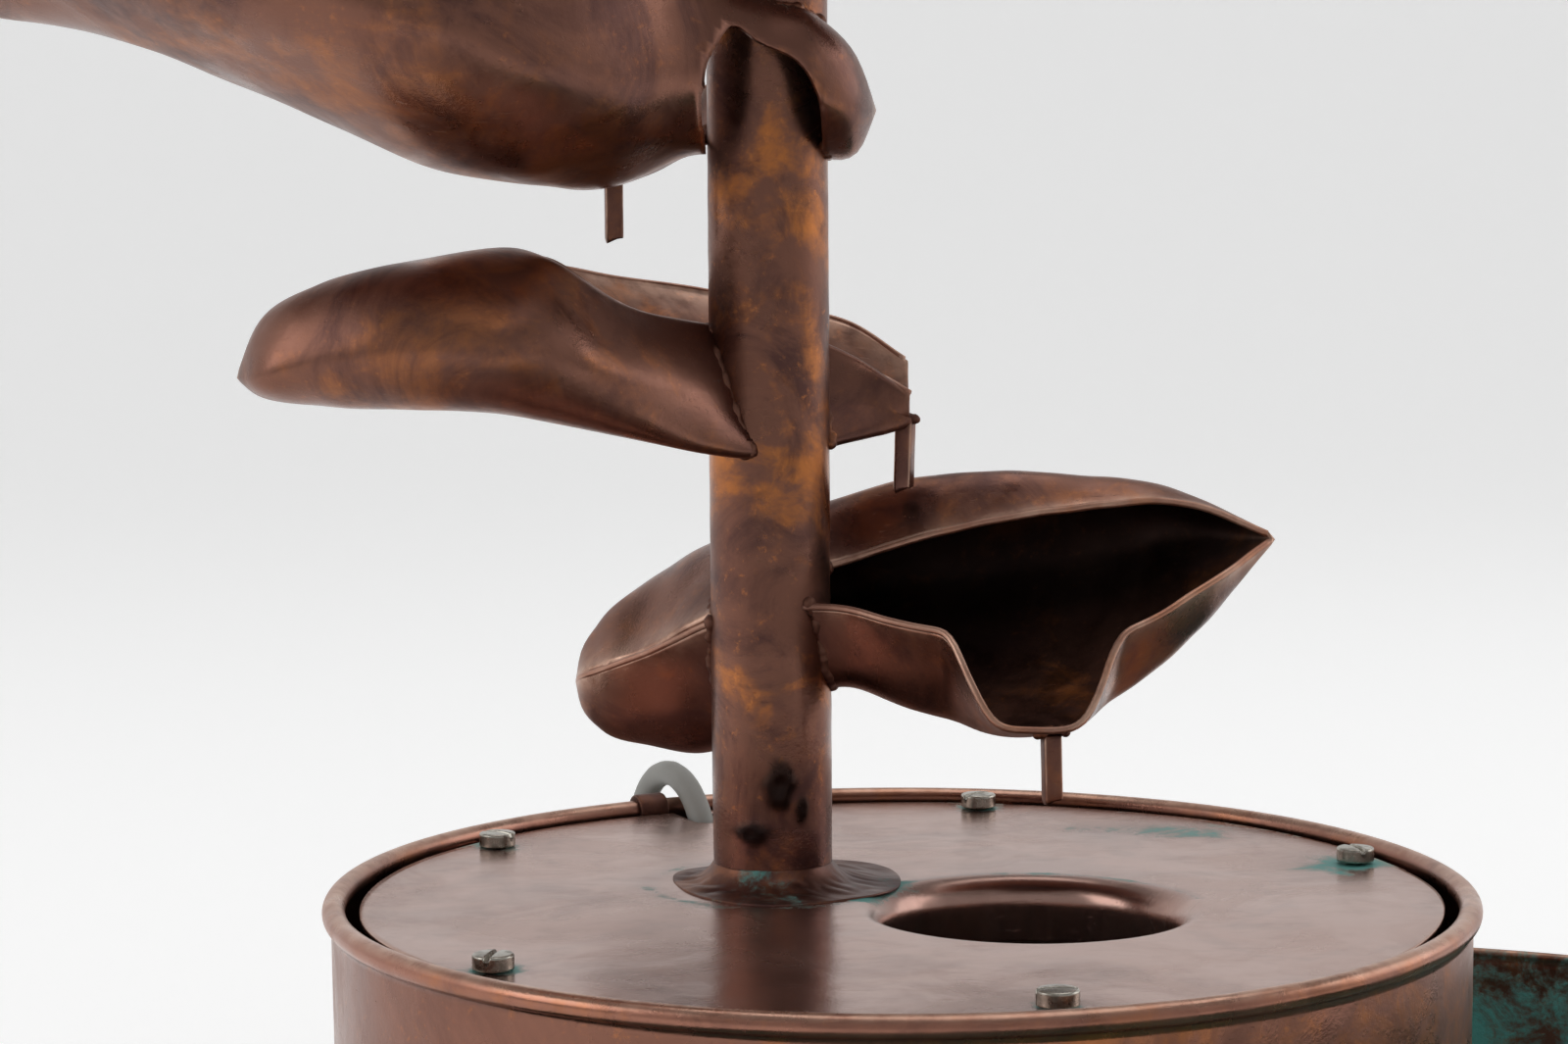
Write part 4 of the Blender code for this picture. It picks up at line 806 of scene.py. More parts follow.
def blobs(points, radii, rows=9, sides=12):
    """A small round blob at each point, as one array of points and one of faces."""
    tilt = np.linspace(0.0, math.pi, rows)[:, None]
    turn = np.linspace(0.0, 2 * math.pi, sides, endpoint=False)
    ball = np.stack([np.sin(tilt) * np.cos(turn), np.sin(tilt) * np.sin(turn),
                     np.broadcast_to(np.cos(tilt), (rows, sides))], axis=-1)
    placed = points[:, None, None] + radii[:, None, None, None] * ball
    faces = grid_faces(rows, sides, wrap_columns=True)
    count = rows * sides
    shifted = faces[None] + count * np.arange(len(points))[:, None, None]
    return placed.reshape(-1, 3), shifted.reshape(-1, 4)


def fused(obj, voxel, rounds):
    """Melts a piece's blobs into one skin by remeshing, smooths it, and keeps the result as its mesh."""
    melt = obj.modifiers.new("Melt", "REMESH")
    melt.mode = "VOXEL"
    melt.voxel_size = voxel * MM
    melt.use_smooth_shade = True
    soften = obj.modifiers.new("Soften", "SMOOTH")
    soften.iterations = rounds
    soften.factor = 0.5
    bpy.context.view_layer.update()
    made = bpy.data.meshes.new_from_object(obj.evaluated_get(bpy.context.evaluated_depsgraph_get()))
    skins = list(obj.data.materials)
    obj.modifiers.clear()
    obj.data = made
    made.materials.clear()
    for skin in skins:
        made.materials.append(skin)
    made.shade_smooth()
    return obj


def lip_pieces(edge, normals, radius):
    """A round bead along a leaf's edge, as rings, left out where it is inside the column."""
    profile = arc((0.0, 0.0), radius, 0.0, 330.0, 12)
    rings = carried(edge, normals, profile)
    outside = from_axis(edge) > COLUMN_RADIUS - 0.8
    breaks = np.flatnonzero(np.diff(outside.astype(int))) + 1
    runs = [run for run in np.split(np.arange(len(edge)), breaks) if outside[run[0]] and len(run) > 2]
    return [with_ends(rings[run]) for run in runs]


def joined(grids, columns):
    """Several grids of rings put into one array of points and one of faces."""
    points, faces, base = [], [], 0
    for grid in grids:
        points.append(grid.reshape(-1, 3))
        faces.append(grid_faces(len(grid), columns, wrap_columns=True) + base)
        base += len(points[-1])
    return np.concatenate(points), np.concatenate(faces)


def near_column(points, spread=7.0):
    return np.exp(-np.abs(from_axis(points) - COLUMN_RADIUS) / spread)


class FOUNTAIN_OT_leaves(bpy.types.Operator):
    """Six hollow leaves of beaten sheet, with dressed edges and brazed seams"""

    bl_idname = "fountain.leaves"
    bl_label = "Leaves"

    def execute(self, context):
        self.sizes = context.scene.fountain_sizes
        for number, (stations, spout, turn, size, lift) in enumerate(LEAVES, 1):
            base = min(pair[1] for row in stations for pair in row[1:])
            flat = leaf_surface(stations, spout, self.sizes.leaf_along, self.sizes.leaf_round)
            surface = stand_leaf(flat, turn, size, lift, base)
            normals = self.outward(surface)
            hollows = waves(surface, 34.0, 40 + number) * self.sizes.wave / MM
            hollows += waves(surface, 13.0, 60 + number) * self.sizes.wave / MM * 0.3
            spread = np.linalg.norm(surface - surface.mean(axis=1, keepdims=True), axis=2)
            fade = np.minimum(1.0, spread / 12.0)
            surface = surface + normals * (hollows * fade)[..., None]
            self.make_sheet(number, surface, flat)
            self.make_lip(number, surface, normals)
            self.make_brazing(number, surface)
        return {"FINISHED"}

    def outward(self, surface):
        """Normals that point out of the trough."""
        normals = grid_normals(surface)
        middle = surface.mean(axis=1, keepdims=True)
        if (normals * (surface - middle)).sum() < 0:
            normals = -normals
        return normals

    def make_sheet(self, number, surface, flat):
        rows, columns = surface.shape[:2]
        points = surface.reshape(-1, 3)
        faces = grid_faces(rows, columns)
        if number == ARCH_LEAF:
            outline = self.arch_outline()
            centres = flat.reshape(-1, 3)[faces].mean(axis=1)
            _, inside = to_outline(centres[:, [0, 2]], outline)
            shift = COLUMN_AXIS[0], LID_TOP
            points, faces = trimmed(points, faces, inside & (centres[:, 1] < 0.0),
                                    lambda spots: self.to_arch(spots, outline, shift))
        gone = from_axis(points[faces].mean(axis=1)) < COLUMN_RADIUS - 0.7
        points, faces = trimmed(points, faces, gone, to_wall)
        rounds = np.linspace(0.0, 1.0, columns)[None, :] * np.ones((rows, 1))
        reach = np.linalg.norm(np.diff(surface, axis=1), axis=2).sum(axis=1, keepdims=True)
        edge = np.exp(-np.minimum(rounds, 1.0 - rounds) * reach / 2.2)
        # Painted shade: past the keel, over the belly to the hood, the hollow side is blended to black where shade
        # falls inside the leaf
        deep = np.clip((rounds - 0.30) / 0.16, 0.0, 1.0) * 0.95
        layers = {"edge": edge, "joint": near_column(points) * 0.8, "heat": near_column(points, 12.0) * 0.4,
                  "hollow_shade": deep}
        leaf = make_piece(f"leaf_{number}_sheet", points, faces,
                          [bpy.data.materials["Leaf copper"], bpy.data.materials["Leaf hollow"]], FOUNTAIN,
                          [f"leaf_{number}"], layers, outwards=False, merge=0.05)
        self.face_out(leaf, surface)
        wall = leaf.modifiers.new("Sheet", "SOLIDIFY")
        wall.thickness = self.sizes.sheet
        wall.offset = 1.0
        wall.material_offset = 1
        wall.material_offset_rim = 0

    def face_out(self, leaf, surface):
        """Turns the faces round where they look into the trough."""
        mesh = leaf.data
        count = len(mesh.polygons)
        normal, centre = np.empty(count * 3), np.empty(count * 3)
        mesh.polygons.foreach_get("normal", normal)
        mesh.polygons.foreach_get("center", centre)
        middles = surface.mean(axis=1)
        spots = centre.reshape(-1, 3) / MM
        nearest = np.linalg.norm(spots[:, None] - middles[None, ::5], axis=2).argmin(axis=1)
        if (normal.reshape(-1, 3) * (spots - middles[::5][nearest])).sum() < 0:
            mesh.flip_normals()

    def arch_outline(self):
        """The arch's outline with its corners rounded by a smooth curve."""
        points = np.array(ARCH)
        keys = np.concatenate([[0.0], np.cumsum(np.linalg.norm(np.diff(points, axis=0), axis=1))])
        return smooth_through(keys, points, np.linspace(0.0, keys[-1], 160))

    def to_arch(self, spots, outline, shift):
        flat = spots[:, [0, 2]] - np.array(shift)
        near, _ = to_outline(flat, outline)
        return np.stack([near[:, 0] + shift[0], spots[:, 1], near[:, 1] + shift[1]], axis=1)

    def make_lip(self, number, surface, normals):
        """The dressed edge: a thin bead along the open rim and along the hood's free edge."""
        radius = self.sizes.lip / MM
        half = self.sizes.sheet / MM / 2
        rim, hood = surface[:, 0] + normals[:, 2] * half, surface[:, -1] + normals[:, -3] * half
        apart = np.linalg.norm(surface[:, 0] - surface[:, -1], axis=1) > 1.0
        grids = lip_pieces(rim[1:-1], normals[1:-1, 2], radius)
        free = np.flatnonzero(apart)
        if number == ARCH_LEAF:
            shown = hood - np.array([*COLUMN_AXIS, LID_TOP])
            _, inside = to_outline(shown[free][:, [0, 2]], self.arch_outline())
            free = free[~inside]
        for run in np.split(free, np.flatnonzero(np.diff(free) > 1) + 1):
            if len(run) > 3:
                grids += lip_pieces(hood[run], normals[run, -3], radius)
        points, faces = joined(grids, 12)
        layers = {"edge": 0.55 + 0.45 * waves(points, 16.0, number), "joint": near_column(points) * 0.8,
                  "heat": near_column(points, 12.0) * 0.4}
        lip = make_piece(f"leaf_{number}_lip", points, faces, [bpy.data.materials["Leaf lip"]], FOUNTAIN,
                         layers=layers)

    def make_brazing(self, number, surface):
        """A lumpy seam of filler where the leaf meets the column."""
        spots = crossings(surface, LID_TOP, COLUMN_HIGH)
        spots = spaced_out(spots, 1.5)
        if number == ARCH_LEAF:
            local = spots - np.array([*COLUMN_AXIS, LID_TOP])
            _, inside = to_outline(local[:, [0, 2]], self.arch_outline())
            spots = spots[~(inside & (local[:, 1] < 0.0))]
        draw = np.random.default_rng(100 + number)
        radii = self.sizes.braze / MM * draw.uniform(0.75, 1.25, len(spots))
        spots = spots + draw.normal(scale=0.25, size=spots.shape)
        points, faces = blobs(spots, radii)
        seam = make_piece(f"leaf_{number}_brazing", points, faces, [bpy.data.materials["Brazing"]], FOUNTAIN)
        fused(seam, 0.45, 6)


# ---- column, lid and drum ------------------------------------------------------------------

# Burnt blisters on the column: angle in degrees, height over the lid, half width and half height
BLISTERS = ((-83.0, 25.5, 3.6, 5.6, 0.9), (-112.0, 14.0, 4.6, 2.6, 0.5), (-60.0, 20.0, 2.0, 3.0, 0.35),
            (-70.0, 218.0, 5.0, 4.0, 0.4))
SCREW_SPOTS = [sum(corners(f"lid_screw_{index}"))[:2] / 2 for index in range(1, 6)]
NOTCH_ANGLE = 114.5
NOTCH_WIDTH = 9.0
NOTCH_DEPTH = 17.5
THROAT_RADIUS = 33.5
THROAT_DEPTH = 16.0


def blister_field(points):
    """How far each point of the column's outside is inside a blister, from 0 to 1, and its height."""
    angle = np.arctan2(points[..., 1] - COLUMN_AXIS[1], points[..., 0] - COLUMN_AXIS[0])
    depth = np.zeros(points.shape[:-1])
    raised = np.zeros(points.shape[:-1])
    for turn, height, wide, tall, rise in BLISTERS:
        across = (np.mod(angle - math.radians(turn) + math.pi, 2 * math.pi) - math.pi) * COLUMN_RADIUS / wide
        up = (points[..., 2] - LID_TOP - height) / tall
        reach = np.sqrt(across ** 2 + up ** 2) * (1.0 + 0.22 * waves(points, 6.0, 7))
        disc = 1.0 / (1.0 + np.exp((reach - 1.0) * 9.0))
        depth = np.maximum(depth, disc)
        raised += rise * disc * (0.55 + 0.45 * np.cos(np.clip(reach, 0, 1) * math.pi * 2.0) * -1.0)
    return depth, raised


class FOUNTAIN_OT_column(bpy.types.Operator):
    """The pipe column with its burnt blisters, and the soldered foot where it stands on the lid"""

    bl_idname = "fountain.column"
    bl_label = "Column and foot"

    def execute(self, context):
        wall = COLUMN_RADIUS - (corners("hose_bush")[1][0] - COLUMN_AXIS[0]) - 0.4
        top = arc((COLUMN_RADIUS - wall / 2, COLUMN_HIGH - wall / 2), wall / 2, 0.0, 180.0, 7)
        outside = np.c_[np.full(420, COLUMN_RADIUS), line(COLUMN_LOW, COLUMN_HIGH - wall / 2, 420)]
        inside = np.c_[np.full(60, COLUMN_RADIUS - wall), line(COLUMN_HIGH - wall / 2, COLUMN_LOW, 60)]
        profile = np.concatenate([outside, top, inside])
        layers = {}
        outer = len(outside)

        def change(surface, angle):
            burnt, raised = blister_field(surface)
            raised = raised + waves(surface, 60.0, 3) * 0.12 + waves(surface, 11.0, 5) * 0.05
            raised[:, outer:] = 0.0
            away = (surface[..., :2] - COLUMN_AXIS) / COLUMN_RADIUS
            layers["burnt"] = burnt
            above = np.maximum(surface[..., 2] - LID_TOP, 0)
            layers["heat"] = np.maximum(burnt * 0.2, 1.1 * np.exp(-above / 26.0))
            layers["joint"] = np.exp(-np.maximum(surface[..., 2] - LID_TOP - 2.0, 0) / 3.5)
            moved = surface.copy()
            moved[..., :2] += away * raised[..., None]
            return moved

        column = turned_piece("column_pipe", profile, 160, [bpy.data.materials["Column copper"]], FOUNTAIN,
                              ["column_tube"], COLUMN_AXIS, change, layers=layers)
        self.make_foot()
        return {"FINISHED"}

    def make_foot(self):
        """Solder that creeps up the pipe and out over the lid: its height falls off outwards to a ragged edge."""
        low, high = corners("column_foot")
        reach = (high[0] - low[0]) / 2
        run = np.linspace(0.0, 1.0, 40)
        radius = COLUMN_RADIUS - 0.2 + (reach - COLUMN_RADIUS) * run
        height = 0.25 + 5.2 * np.exp(-run * 5.5) + 0.45 * (1 - run)
        profile = np.concatenate([np.c_[radius, height], [(radius[-1], -0.4), (radius[0], -0.4)]])
        profile[:, 1] += LID_TOP
        skirt = len(run)

        def change(surface, angle):
            out = np.clip((from_axis(surface) - COLUMN_RADIUS) / (reach - COLUMN_RADIUS), 0.0, 1.0)
            ragged = 1.0 + 0.16 * (waves(surface[:, :1] * np.array([1, 1, 0]), 26.0, 11) - 0.6) * out
            moved = surface.copy()
            moved[..., :2] = COLUMN_AXIS + (surface[..., :2] - COLUMN_AXIS) * ragged[..., None]
            lumps = np.abs(waves(moved, 7.0, 12)) * 0.5 * np.sin(np.pi * np.clip(out, 0, 1))
            moved[:, :skirt, 2] += lumps[:, :skirt]
            return moved

        angle = np.linspace(0, 2 * math.pi, 180, endpoint=False)
        shade = np.broadcast_to(0.75 + 0.25 * np.sin(3 * angle + 1)[:, None], (180, len(profile)))
        foot = turned_piece("column_solder", profile, 180, [bpy.data.materials["Brazing"]], FOUNTAIN,
                            ["column_foot"], COLUMN_AXIS, change, layers={"joint": shade})


class FOUNTAIN_OT_lid(bpy.types.Operator):
    """The lid with its rolled drain mouth, its cord slot and its stains"""

    bl_idname = "fountain.lid"
    bl_label = "Lid"

    def execute(self, context):
        sheet = context.scene.fountain_sizes.sheet / MM
        bend = HOLE_RADIUS - THROAT_RADIUS
        mouth = arc((HOLE_RADIUS, -bend), bend, 180.0, 90.0, 14)
        throat = np.c_[np.full(12, THROAT_RADIUS), line(-THROAT_DEPTH + 0.6, -bend - 0.5, 12)]
        mouth = np.concatenate([throat, mouth])
        turn = np.linspace(0.0, 2 * math.pi, 360, endpoint=False)
        away = np.stack([np.cos(turn), np.sin(turn)], axis=1)
        inward = away @ HOLE_CENTRE
        reach = -inward + np.sqrt(inward ** 2 - HOLE_CENTRE @ HOLE_CENTRE + LID_RADIUS ** 2)
        share = np.linspace(0.0, 1.0, 71)[1:]
        radius = np.concatenate([np.broadcast_to(mouth[:, 0], (360, len(mouth))),
                                 HOLE_RADIUS + (reach - HOLE_RADIUS)[:, None] * share], axis=1)
        height = np.concatenate([mouth[:, 1], np.zeros(70)])
        surface = np.stack([HOLE_CENTRE[0] + radius * away[:, :1], HOLE_CENTRE[1] + radius * away[:, 1:],
                            np.broadcast_to(height + LID_TOP, radius.shape)], axis=-1)
        flat = surface * np.array([1.0, 1.0, 0.0])
        surface[..., 2] += waves(flat, 95.0, 21) * 0.30 + waves(flat, 30.0, 22) * 0.05 - 0.15
        points = surface.reshape(-1, 3)
        layers = self.stains(points, np.minimum(radius - HOLE_RADIUS, 3.0).ravel())
        lid = make_piece("lid_plate", points, grid_faces(360, surface.shape[1], wrap_rows=True),
                         [bpy.data.materials["Lid copper fine"]], FOUNTAIN, ["lid", "drain_collar"], layers,
                         outwards=False)
        self.face_up(lid)
        wall = lid.modifiers.new("Sheet", "SOLIDIFY")
        wall.thickness = sheet * MM
        wall.offset = -1.0
        self.cut_openings(lid)
        return {"FINISHED"}

    def stains(self, points, from_mouth):
        """Where verdigris sits: round the screws and the foot, along the far rim and on the far lip."""
        flat = points[:, :2]
        screws = np.min([np.linalg.norm(flat - spot, axis=1) for spot in SCREW_SPOTS], axis=0)
        foot = np.abs(np.linalg.norm(flat - COLUMN_AXIS, axis=1) - 29.0)
        patch = np.hypot((flat[:, 0] - 72.0) / 34.0, (flat[:, 1] - 80.0) / 13.0)
        second = np.hypot((flat[:, 0] - 104.0) / 14.0, (flat[:, 1] - 34.0) / 22.0)
        rim = LID_RADIUS - np.linalg.norm(flat, axis=1)
        joint = 1.0 * np.exp(-np.maximum(screws - 4.0, 0.0) / 4.5) + 0.75 * np.exp(-foot / 5.0)
        joint += 0.95 * np.exp(-patch ** 2) + 0.7 * np.exp(-second ** 2) + 0.45 * np.exp(-rim / 2.0)
        far_lip = (flat[:, 1] > HOLE_CENTRE[1] + 8.0) & (from_mouth < 2.0)
        joint += 0.75 * far_lip * np.exp(-np.abs(from_mouth) / 3.0)
        throat = 1.0 / (1.0 + np.exp((from_mouth + 0.8) * 3.0))
        return {"joint": np.clip(joint, 0.0, 1.2), "edge": np.exp(-rim / 1.0), "heat": throat}

    def face_up(self, lid):
        normal = np.empty(len(lid.data.polygons) * 3)
        lid.data.polygons.foreach_get("normal", normal)
        if normal[2::3].sum() < 0:
            lid.data.flip_normals()

    def cut_openings(self, lid):
        """Cuts the cord's slot and the column's hole, and keeps the result as the lid's mesh."""
        along = np.array([math.cos(math.radians(NOTCH_ANGLE)), math.sin(math.radians(NOTCH_ANGLE))])
        across = np.array([-along[1], along[0]])
        inner = LID_RADIUS - NOTCH_DEPTH + NOTCH_WIDTH / 2
        bow = arc((0.0, 0.0), NOTCH_WIDTH / 2, 90.0, 270.0, 25)
        slot = [along * (inner + x) + across * y for x, y in bow]
        slot += [along * (LID_RADIUS + 9.0) + side * across * NOTCH_WIDTH / 2 for side in (-1, 1)]
        hole = arc(COLUMN_AXIS, COLUMN_RADIUS + 0.4, 0.0, 360.0, 65)[:-1]
        shape = bmesh.new()
        for loop in (slot, hole):
            low = [shape.verts.new((x * MM, y * MM, (LID_TOP - 20.0) * MM)) for x, y in loop]
            face = shape.faces.new(low)
            made = bmesh.ops.extrude_face_region(shape, geom=[face])
            lifted = [item for item in made["geom"] if isinstance(item, bmesh.types.BMVert)]
            bmesh.ops.translate(shape, verts=lifted, vec=(0.0, 0.0, 40.0 * MM))
        bmesh.ops.recalc_face_normals(shape, faces=shape.faces)
        mesh = bpy.data.meshes.new("lid_openings")
        shape.to_mesh(mesh)
        shape.free()
        cutter = bpy.data.objects.new("lid_openings", mesh)
        bpy.context.scene.collection.objects.link(cutter)
        step = lid.modifiers.new("Openings", "BOOLEAN")
        step.operation = "DIFFERENCE"
        step.solver = "EXACT"
        step.object = cutter
        keep_result(lid)
        bpy.data.objects.remove(cutter, do_unlink=True)


def keep_result(obj):
    """Makes an object's evaluated mesh its own, and clears its modifiers."""
    bpy.context.view_layer.update()
    made = bpy.data.meshes.new_from_object(obj.evaluated_get(bpy.context.evaluated_depsgraph_get()))
    obj.modifiers.clear()
    obj.data = made
    return obj


class FOUNTAIN_OT_drum(bpy.types.Operator):
    """The drum's wall with its rolled rim, and the strap over the rim beside the cord"""

    bl_idname = "fountain.drum"
    bl_label = "Drum and rim strap"

    def execute(self, context):
        sizes = context.scene.fountain_sizes
        bead, sheet = sizes.bead / MM, sizes.sheet / MM
        middle = RIM_OUTSIDE - bead
        lean = math.degrees(math.acos(sheet / 2 / bead))
        rim = arc((middle, LID_TOP), bead, -lean, 180.0 + lean, 40)
        outer = np.c_[np.full(70, middle + sheet / 2), line(DRUM_FOOT, rim[0, 1], 70)]
        inner = np.c_[np.full(30, middle - sheet / 2), line(rim[-1, 1], DRUM_FOOT, 30)]
        profile = np.concatenate([outer, rim, inner, [(middle - sheet / 2, DRUM_FOOT)]])

        def change(surface, angle):
            moved = surface.copy()
            bulge = (waves(surface, 150.0, 31) * 0.35 + waves(surface, 40.0, 32) * 0.06)
            away = surface[..., :2] / np.linalg.norm(surface[..., :2], axis=-1, keepdims=True)
            below = np.clip((LID_TOP - 2 - surface[..., 2]) / 30.0, 0, 1)
            moved[..., :2] += away * (bulge * below)[..., None]
            lift = waves(surface * np.array([1, 1, 0]), 120.0, 33) * 0.25
            moved[..., 2] += lift * (surface[..., 2] > LID_TOP - 6)
            return moved

        height = np.broadcast_to(profile[:, 1], (400, len(profile)))
        side = np.broadcast_to(profile[:, 0], (400, len(profile)))
        layers = {"edge": np.clip((height - LID_TOP - 0.9) / 1.7, 0.0, 1.0) * 0.8,
                  "joint": 0.8 * (side < middle - 0.3) * np.exp(-np.abs(height - LID_TOP + 3.0) / 5.0)}
        drum = turned_piece("drum_shell", profile, 400, [bpy.data.materials["Drum copper"],
                                                         bpy.data.materials["Rim copper"]],
                            BASE, ["drum_wall"], change=change, layers=layers)
        middles = np.empty(len(drum.data.polygons) * 3)
        drum.data.polygons.foreach_get("center", middles)
        on_rim = (middles[2::3] / MM > LID_TOP - bead - 0.2).astype(np.int32)
        drum.data.polygons.foreach_set("material_index", on_rim)
        self.make_strap(middle, bead)
        return {"FINISHED"}

    def make_strap(self, middle, bead):
        """A strip bent over the rim: an arc of even thickness, 8 mm wide with softened sides."""
        turn = math.radians(NOTCH_ANGLE + 4.0)
        away = np.array([math.cos(turn), math.sin(turn), 0.0])
        side = np.array([-away[1], away[0], 0.0])
        outer = arc((middle, LID_TOP), bead + 1.55, -30.0, 205.0, 40)
        inner = arc((middle, LID_TOP), bead + 0.55, 205.0, -30.0, 40)
        loop = np.concatenate([outer, inner])
        centre = (loop + np.concatenate([inner[::-1], outer[::-1]])) / 2
        width = np.array((-4.0, -3.85, -3.4, 3.4, 3.85, 4.0))
        thin = np.array((0.1, 0.65, 1.0, 1.0, 0.65, 0.1))
        flat = centre[None] + (loop - centre)[None] * thin[:, None, None]
        up = np.array([0.0, 0.0, 1.0])
        rings = flat[..., :1] * away + flat[..., 1:] * up + width[:, None, None] * side
        strap = make_piece("rim_strap", with_ends(rings), grid_faces(8, len(loop), wrap_columns=True),
                           [bpy.data.materials["Brazing"]], BASE, ["rim_clip"])


class FOUNTAIN_OT_tray(bpy.types.Operator):
    """The round tray that catches the splashes, with its rolled edge"""

    bl_idname = "fountain.tray"
    bl_label = "Tray"

    def execute(self, context):
        bead, sheet = 1.5, 1.5
        wall = TRAY_RADIUS - bead
        floor = np.c_[line(0.0, wall - 13.0, 90), np.full(90, sheet)]
        corner_in = arc((wall - 13.0, sheet + 11.5), 11.5, -90.0, -8.0, 16)
        rim = arc((wall, TRAY_HEIGHT - bead), bead, 215.0, -60.0, 24)
        rise = np.c_[line(wall - sheet, wall - sheet, 30), line(14.0, TRAY_HEIGHT - 3.0, 30)]
        outside = np.c_[np.full(30, wall), line(TRAY_HEIGHT - 3.2, 14.0, 30)]
        corner_out = arc((wall - 13.0, 13.0), 13.0, 0.0, -90.0, 16)
        under = np.c_[line(wall - 13.0, 0.0, 30), np.zeros(30)]
        profile = np.concatenate([floor, corner_in, rise, rim, outside, corner_out, under, [(0.0, 0.0)]])

        def change(surface, angle):
            moved = surface.copy()
            flat = surface * np.array([1, 1, 0])
            moved[..., 2] += np.maximum(waves(flat, 110.0, 51), -0.5) * 0.15 * (surface[..., 2] > 1.0)
            return moved

        height = np.broadcast_to(profile[:, 1], (300, len(profile)))
        splash = 0.5 * np.exp(-np.abs(height - 8.0) / 14.0) * (height > 0.6)
        layers = {"edge": np.clip(height - TRAY_HEIGHT + 1.2, 0.0, 1.0), "joint": splash}
        tray = turned_piece("tray_pan", profile, 300, [bpy.data.materials["Tray copper"]], BASE, ["tray"],
                            TRAY_CENTRE, change, layers=layers)
        return {"FINISHED"}


# ---- screws and pins -----------------------------------------------------------------------

class FOUNTAIN_OT_screws(bpy.types.Operator):
    """Five slotted lid screws and six square drip pins"""

    bl_idname = "fountain.screws"
    bl_label = "Screws and drip pins"

    def execute(self, context):
        for number in range(1, 6):
            self.make_screw(number)
        for number in range(1, 7):
            self.make_pin(number)
        return {"FINISHED"}

    def make_screw(self, number):
        """A cheese head: height over radius and angle, let down by the slot where |side| is small."""
        low, high = corners(f"lid_screw_{number}")
        centre = (low + high)[:2] / 2
        foot = LID_TOP + 0.3
        top, reach = high[2] - foot, (high[0] - low[0]) / 2
        radius = np.concatenate([np.linspace(0.0, reach - 0.55, 30), [reach - 0.3, reach - 0.1, reach],
                                 np.full(8, reach), [reach - 0.1, 2.4, 2.4, 0.0]])
        height = np.concatenate([top - 0.25 * np.linspace(0.0, 1.0, 30) ** 2, [top - 0.33, top - 0.5, top - 0.75],
                                 np.linspace(top - 1.0, 0.15, 8), [0.0, 0.0, low[2] - foot, low[2] - foot]])
        angle = np.linspace(0.0, 2 * math.pi, 128, endpoint=False)[:, None]
        turn = number * 1.9
        side = np.abs(radius * np.sin(angle - turn))
        depth = 1.25 / (1.0 + np.exp((side - 0.62) * 22.0))
        floor = np.where(height > top - 1.3, np.minimum(height, height - depth), height)
        rings = np.stack([centre[0] + radius * np.cos(angle), centre[1] + radius * np.sin(angle), foot + floor],
                         axis=-1)
        screw = make_piece(f"lid_screw_{number}_fine", rings, grid_faces(128, len(radius), wrap_rows=True),
                           [bpy.data.materials["Tarnished nickel"]], f"lid_screw_{number}",
                           [f"lid_screw_{number}"], merge=0.004)

    def make_pin(self, number):
        """A square bar with softened corners from the leaf down to a slanting end, soldered at its top."""
        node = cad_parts[f"drip_pin_{number}"]
        points = np.empty(len(node.data.vertices) * 3)
        node.data.vertices.foreach_get("co", points)
        points = points.reshape(-1, 3) / MM
        top = points[points[:, 2] > points[:, 2].max() - 0.8].mean(axis=0)
        end = points[points[:, 2] < points[:, 2].min() + 0.8].mean(axis=0)
        ahead = (end - top) / np.linalg.norm(end - top)
        top = top - ahead * 1.6
        share = np.array((0.0, 0.02, 0.2, 0.5, 0.8, 0.95, 0.985, 1.0))
        scale = np.array((0.9, 1.0, 1.0, 0.99, 1.0, 0.99, 0.93, 0.80))
        angle = np.linspace(0.0, 2 * math.pi, 48, endpoint=False)
        across = np.sign(np.cos(angle)) * np.abs(np.cos(angle)) ** 0.30 * 2.1
        along = np.sign(np.sin(angle)) * np.abs(np.sin(angle)) ** 0.30 * 2.1
        turn = math.radians((12.0, -20.0, 8.0, 15.0, -10.0, 5.0)[number - 1])
        x = across * math.cos(turn) - along * math.sin(turn)
        y = across * math.sin(turn) + along * math.cos(turn)
        path = top + (end - top) * share[:, None]
        rings = path[:, None] + scale[:, None, None] * np.stack([x, y, np.zeros(48)], axis=1)
        slant = np.linspace(0.0, 1.0, 8)[:, None] ** 6 * (x * 0.35)
        rings[..., 2] += slant
        layers = {"edge": np.tile(np.abs(np.sin(2 * angle)) ** 6, 10) * 0.8,
                  "joint": np.repeat(np.concatenate([[1.0], 1.0 - share, [0.0]]) * 0.5, 48)}
        pin = make_piece(f"drip_pin_{number}_bar", with_ends(rings), grid_faces(10, 48, wrap_columns=True),
                         [bpy.data.materials["Leaf copper"]], FOUNTAIN, [f"drip_pin_{number}"], layers)
        draw = np.random.default_rng(200 + number)
        spots = top + np.c_[draw.normal(scale=1.5, size=(14, 2)), draw.uniform(0.2, 1.2, 14)]
        points, faces = blobs(spots, draw.uniform(0.9, 1.5, 14))
        solder = make_piece(f"drip_pin_{number}_solder", points, faces,
                            [bpy.data.materials["Brazing"]], FOUNTAIN)
        fused(solder, 0.3, 5)


# ---- pump and the carried-over pieces ------------------------------------------------------

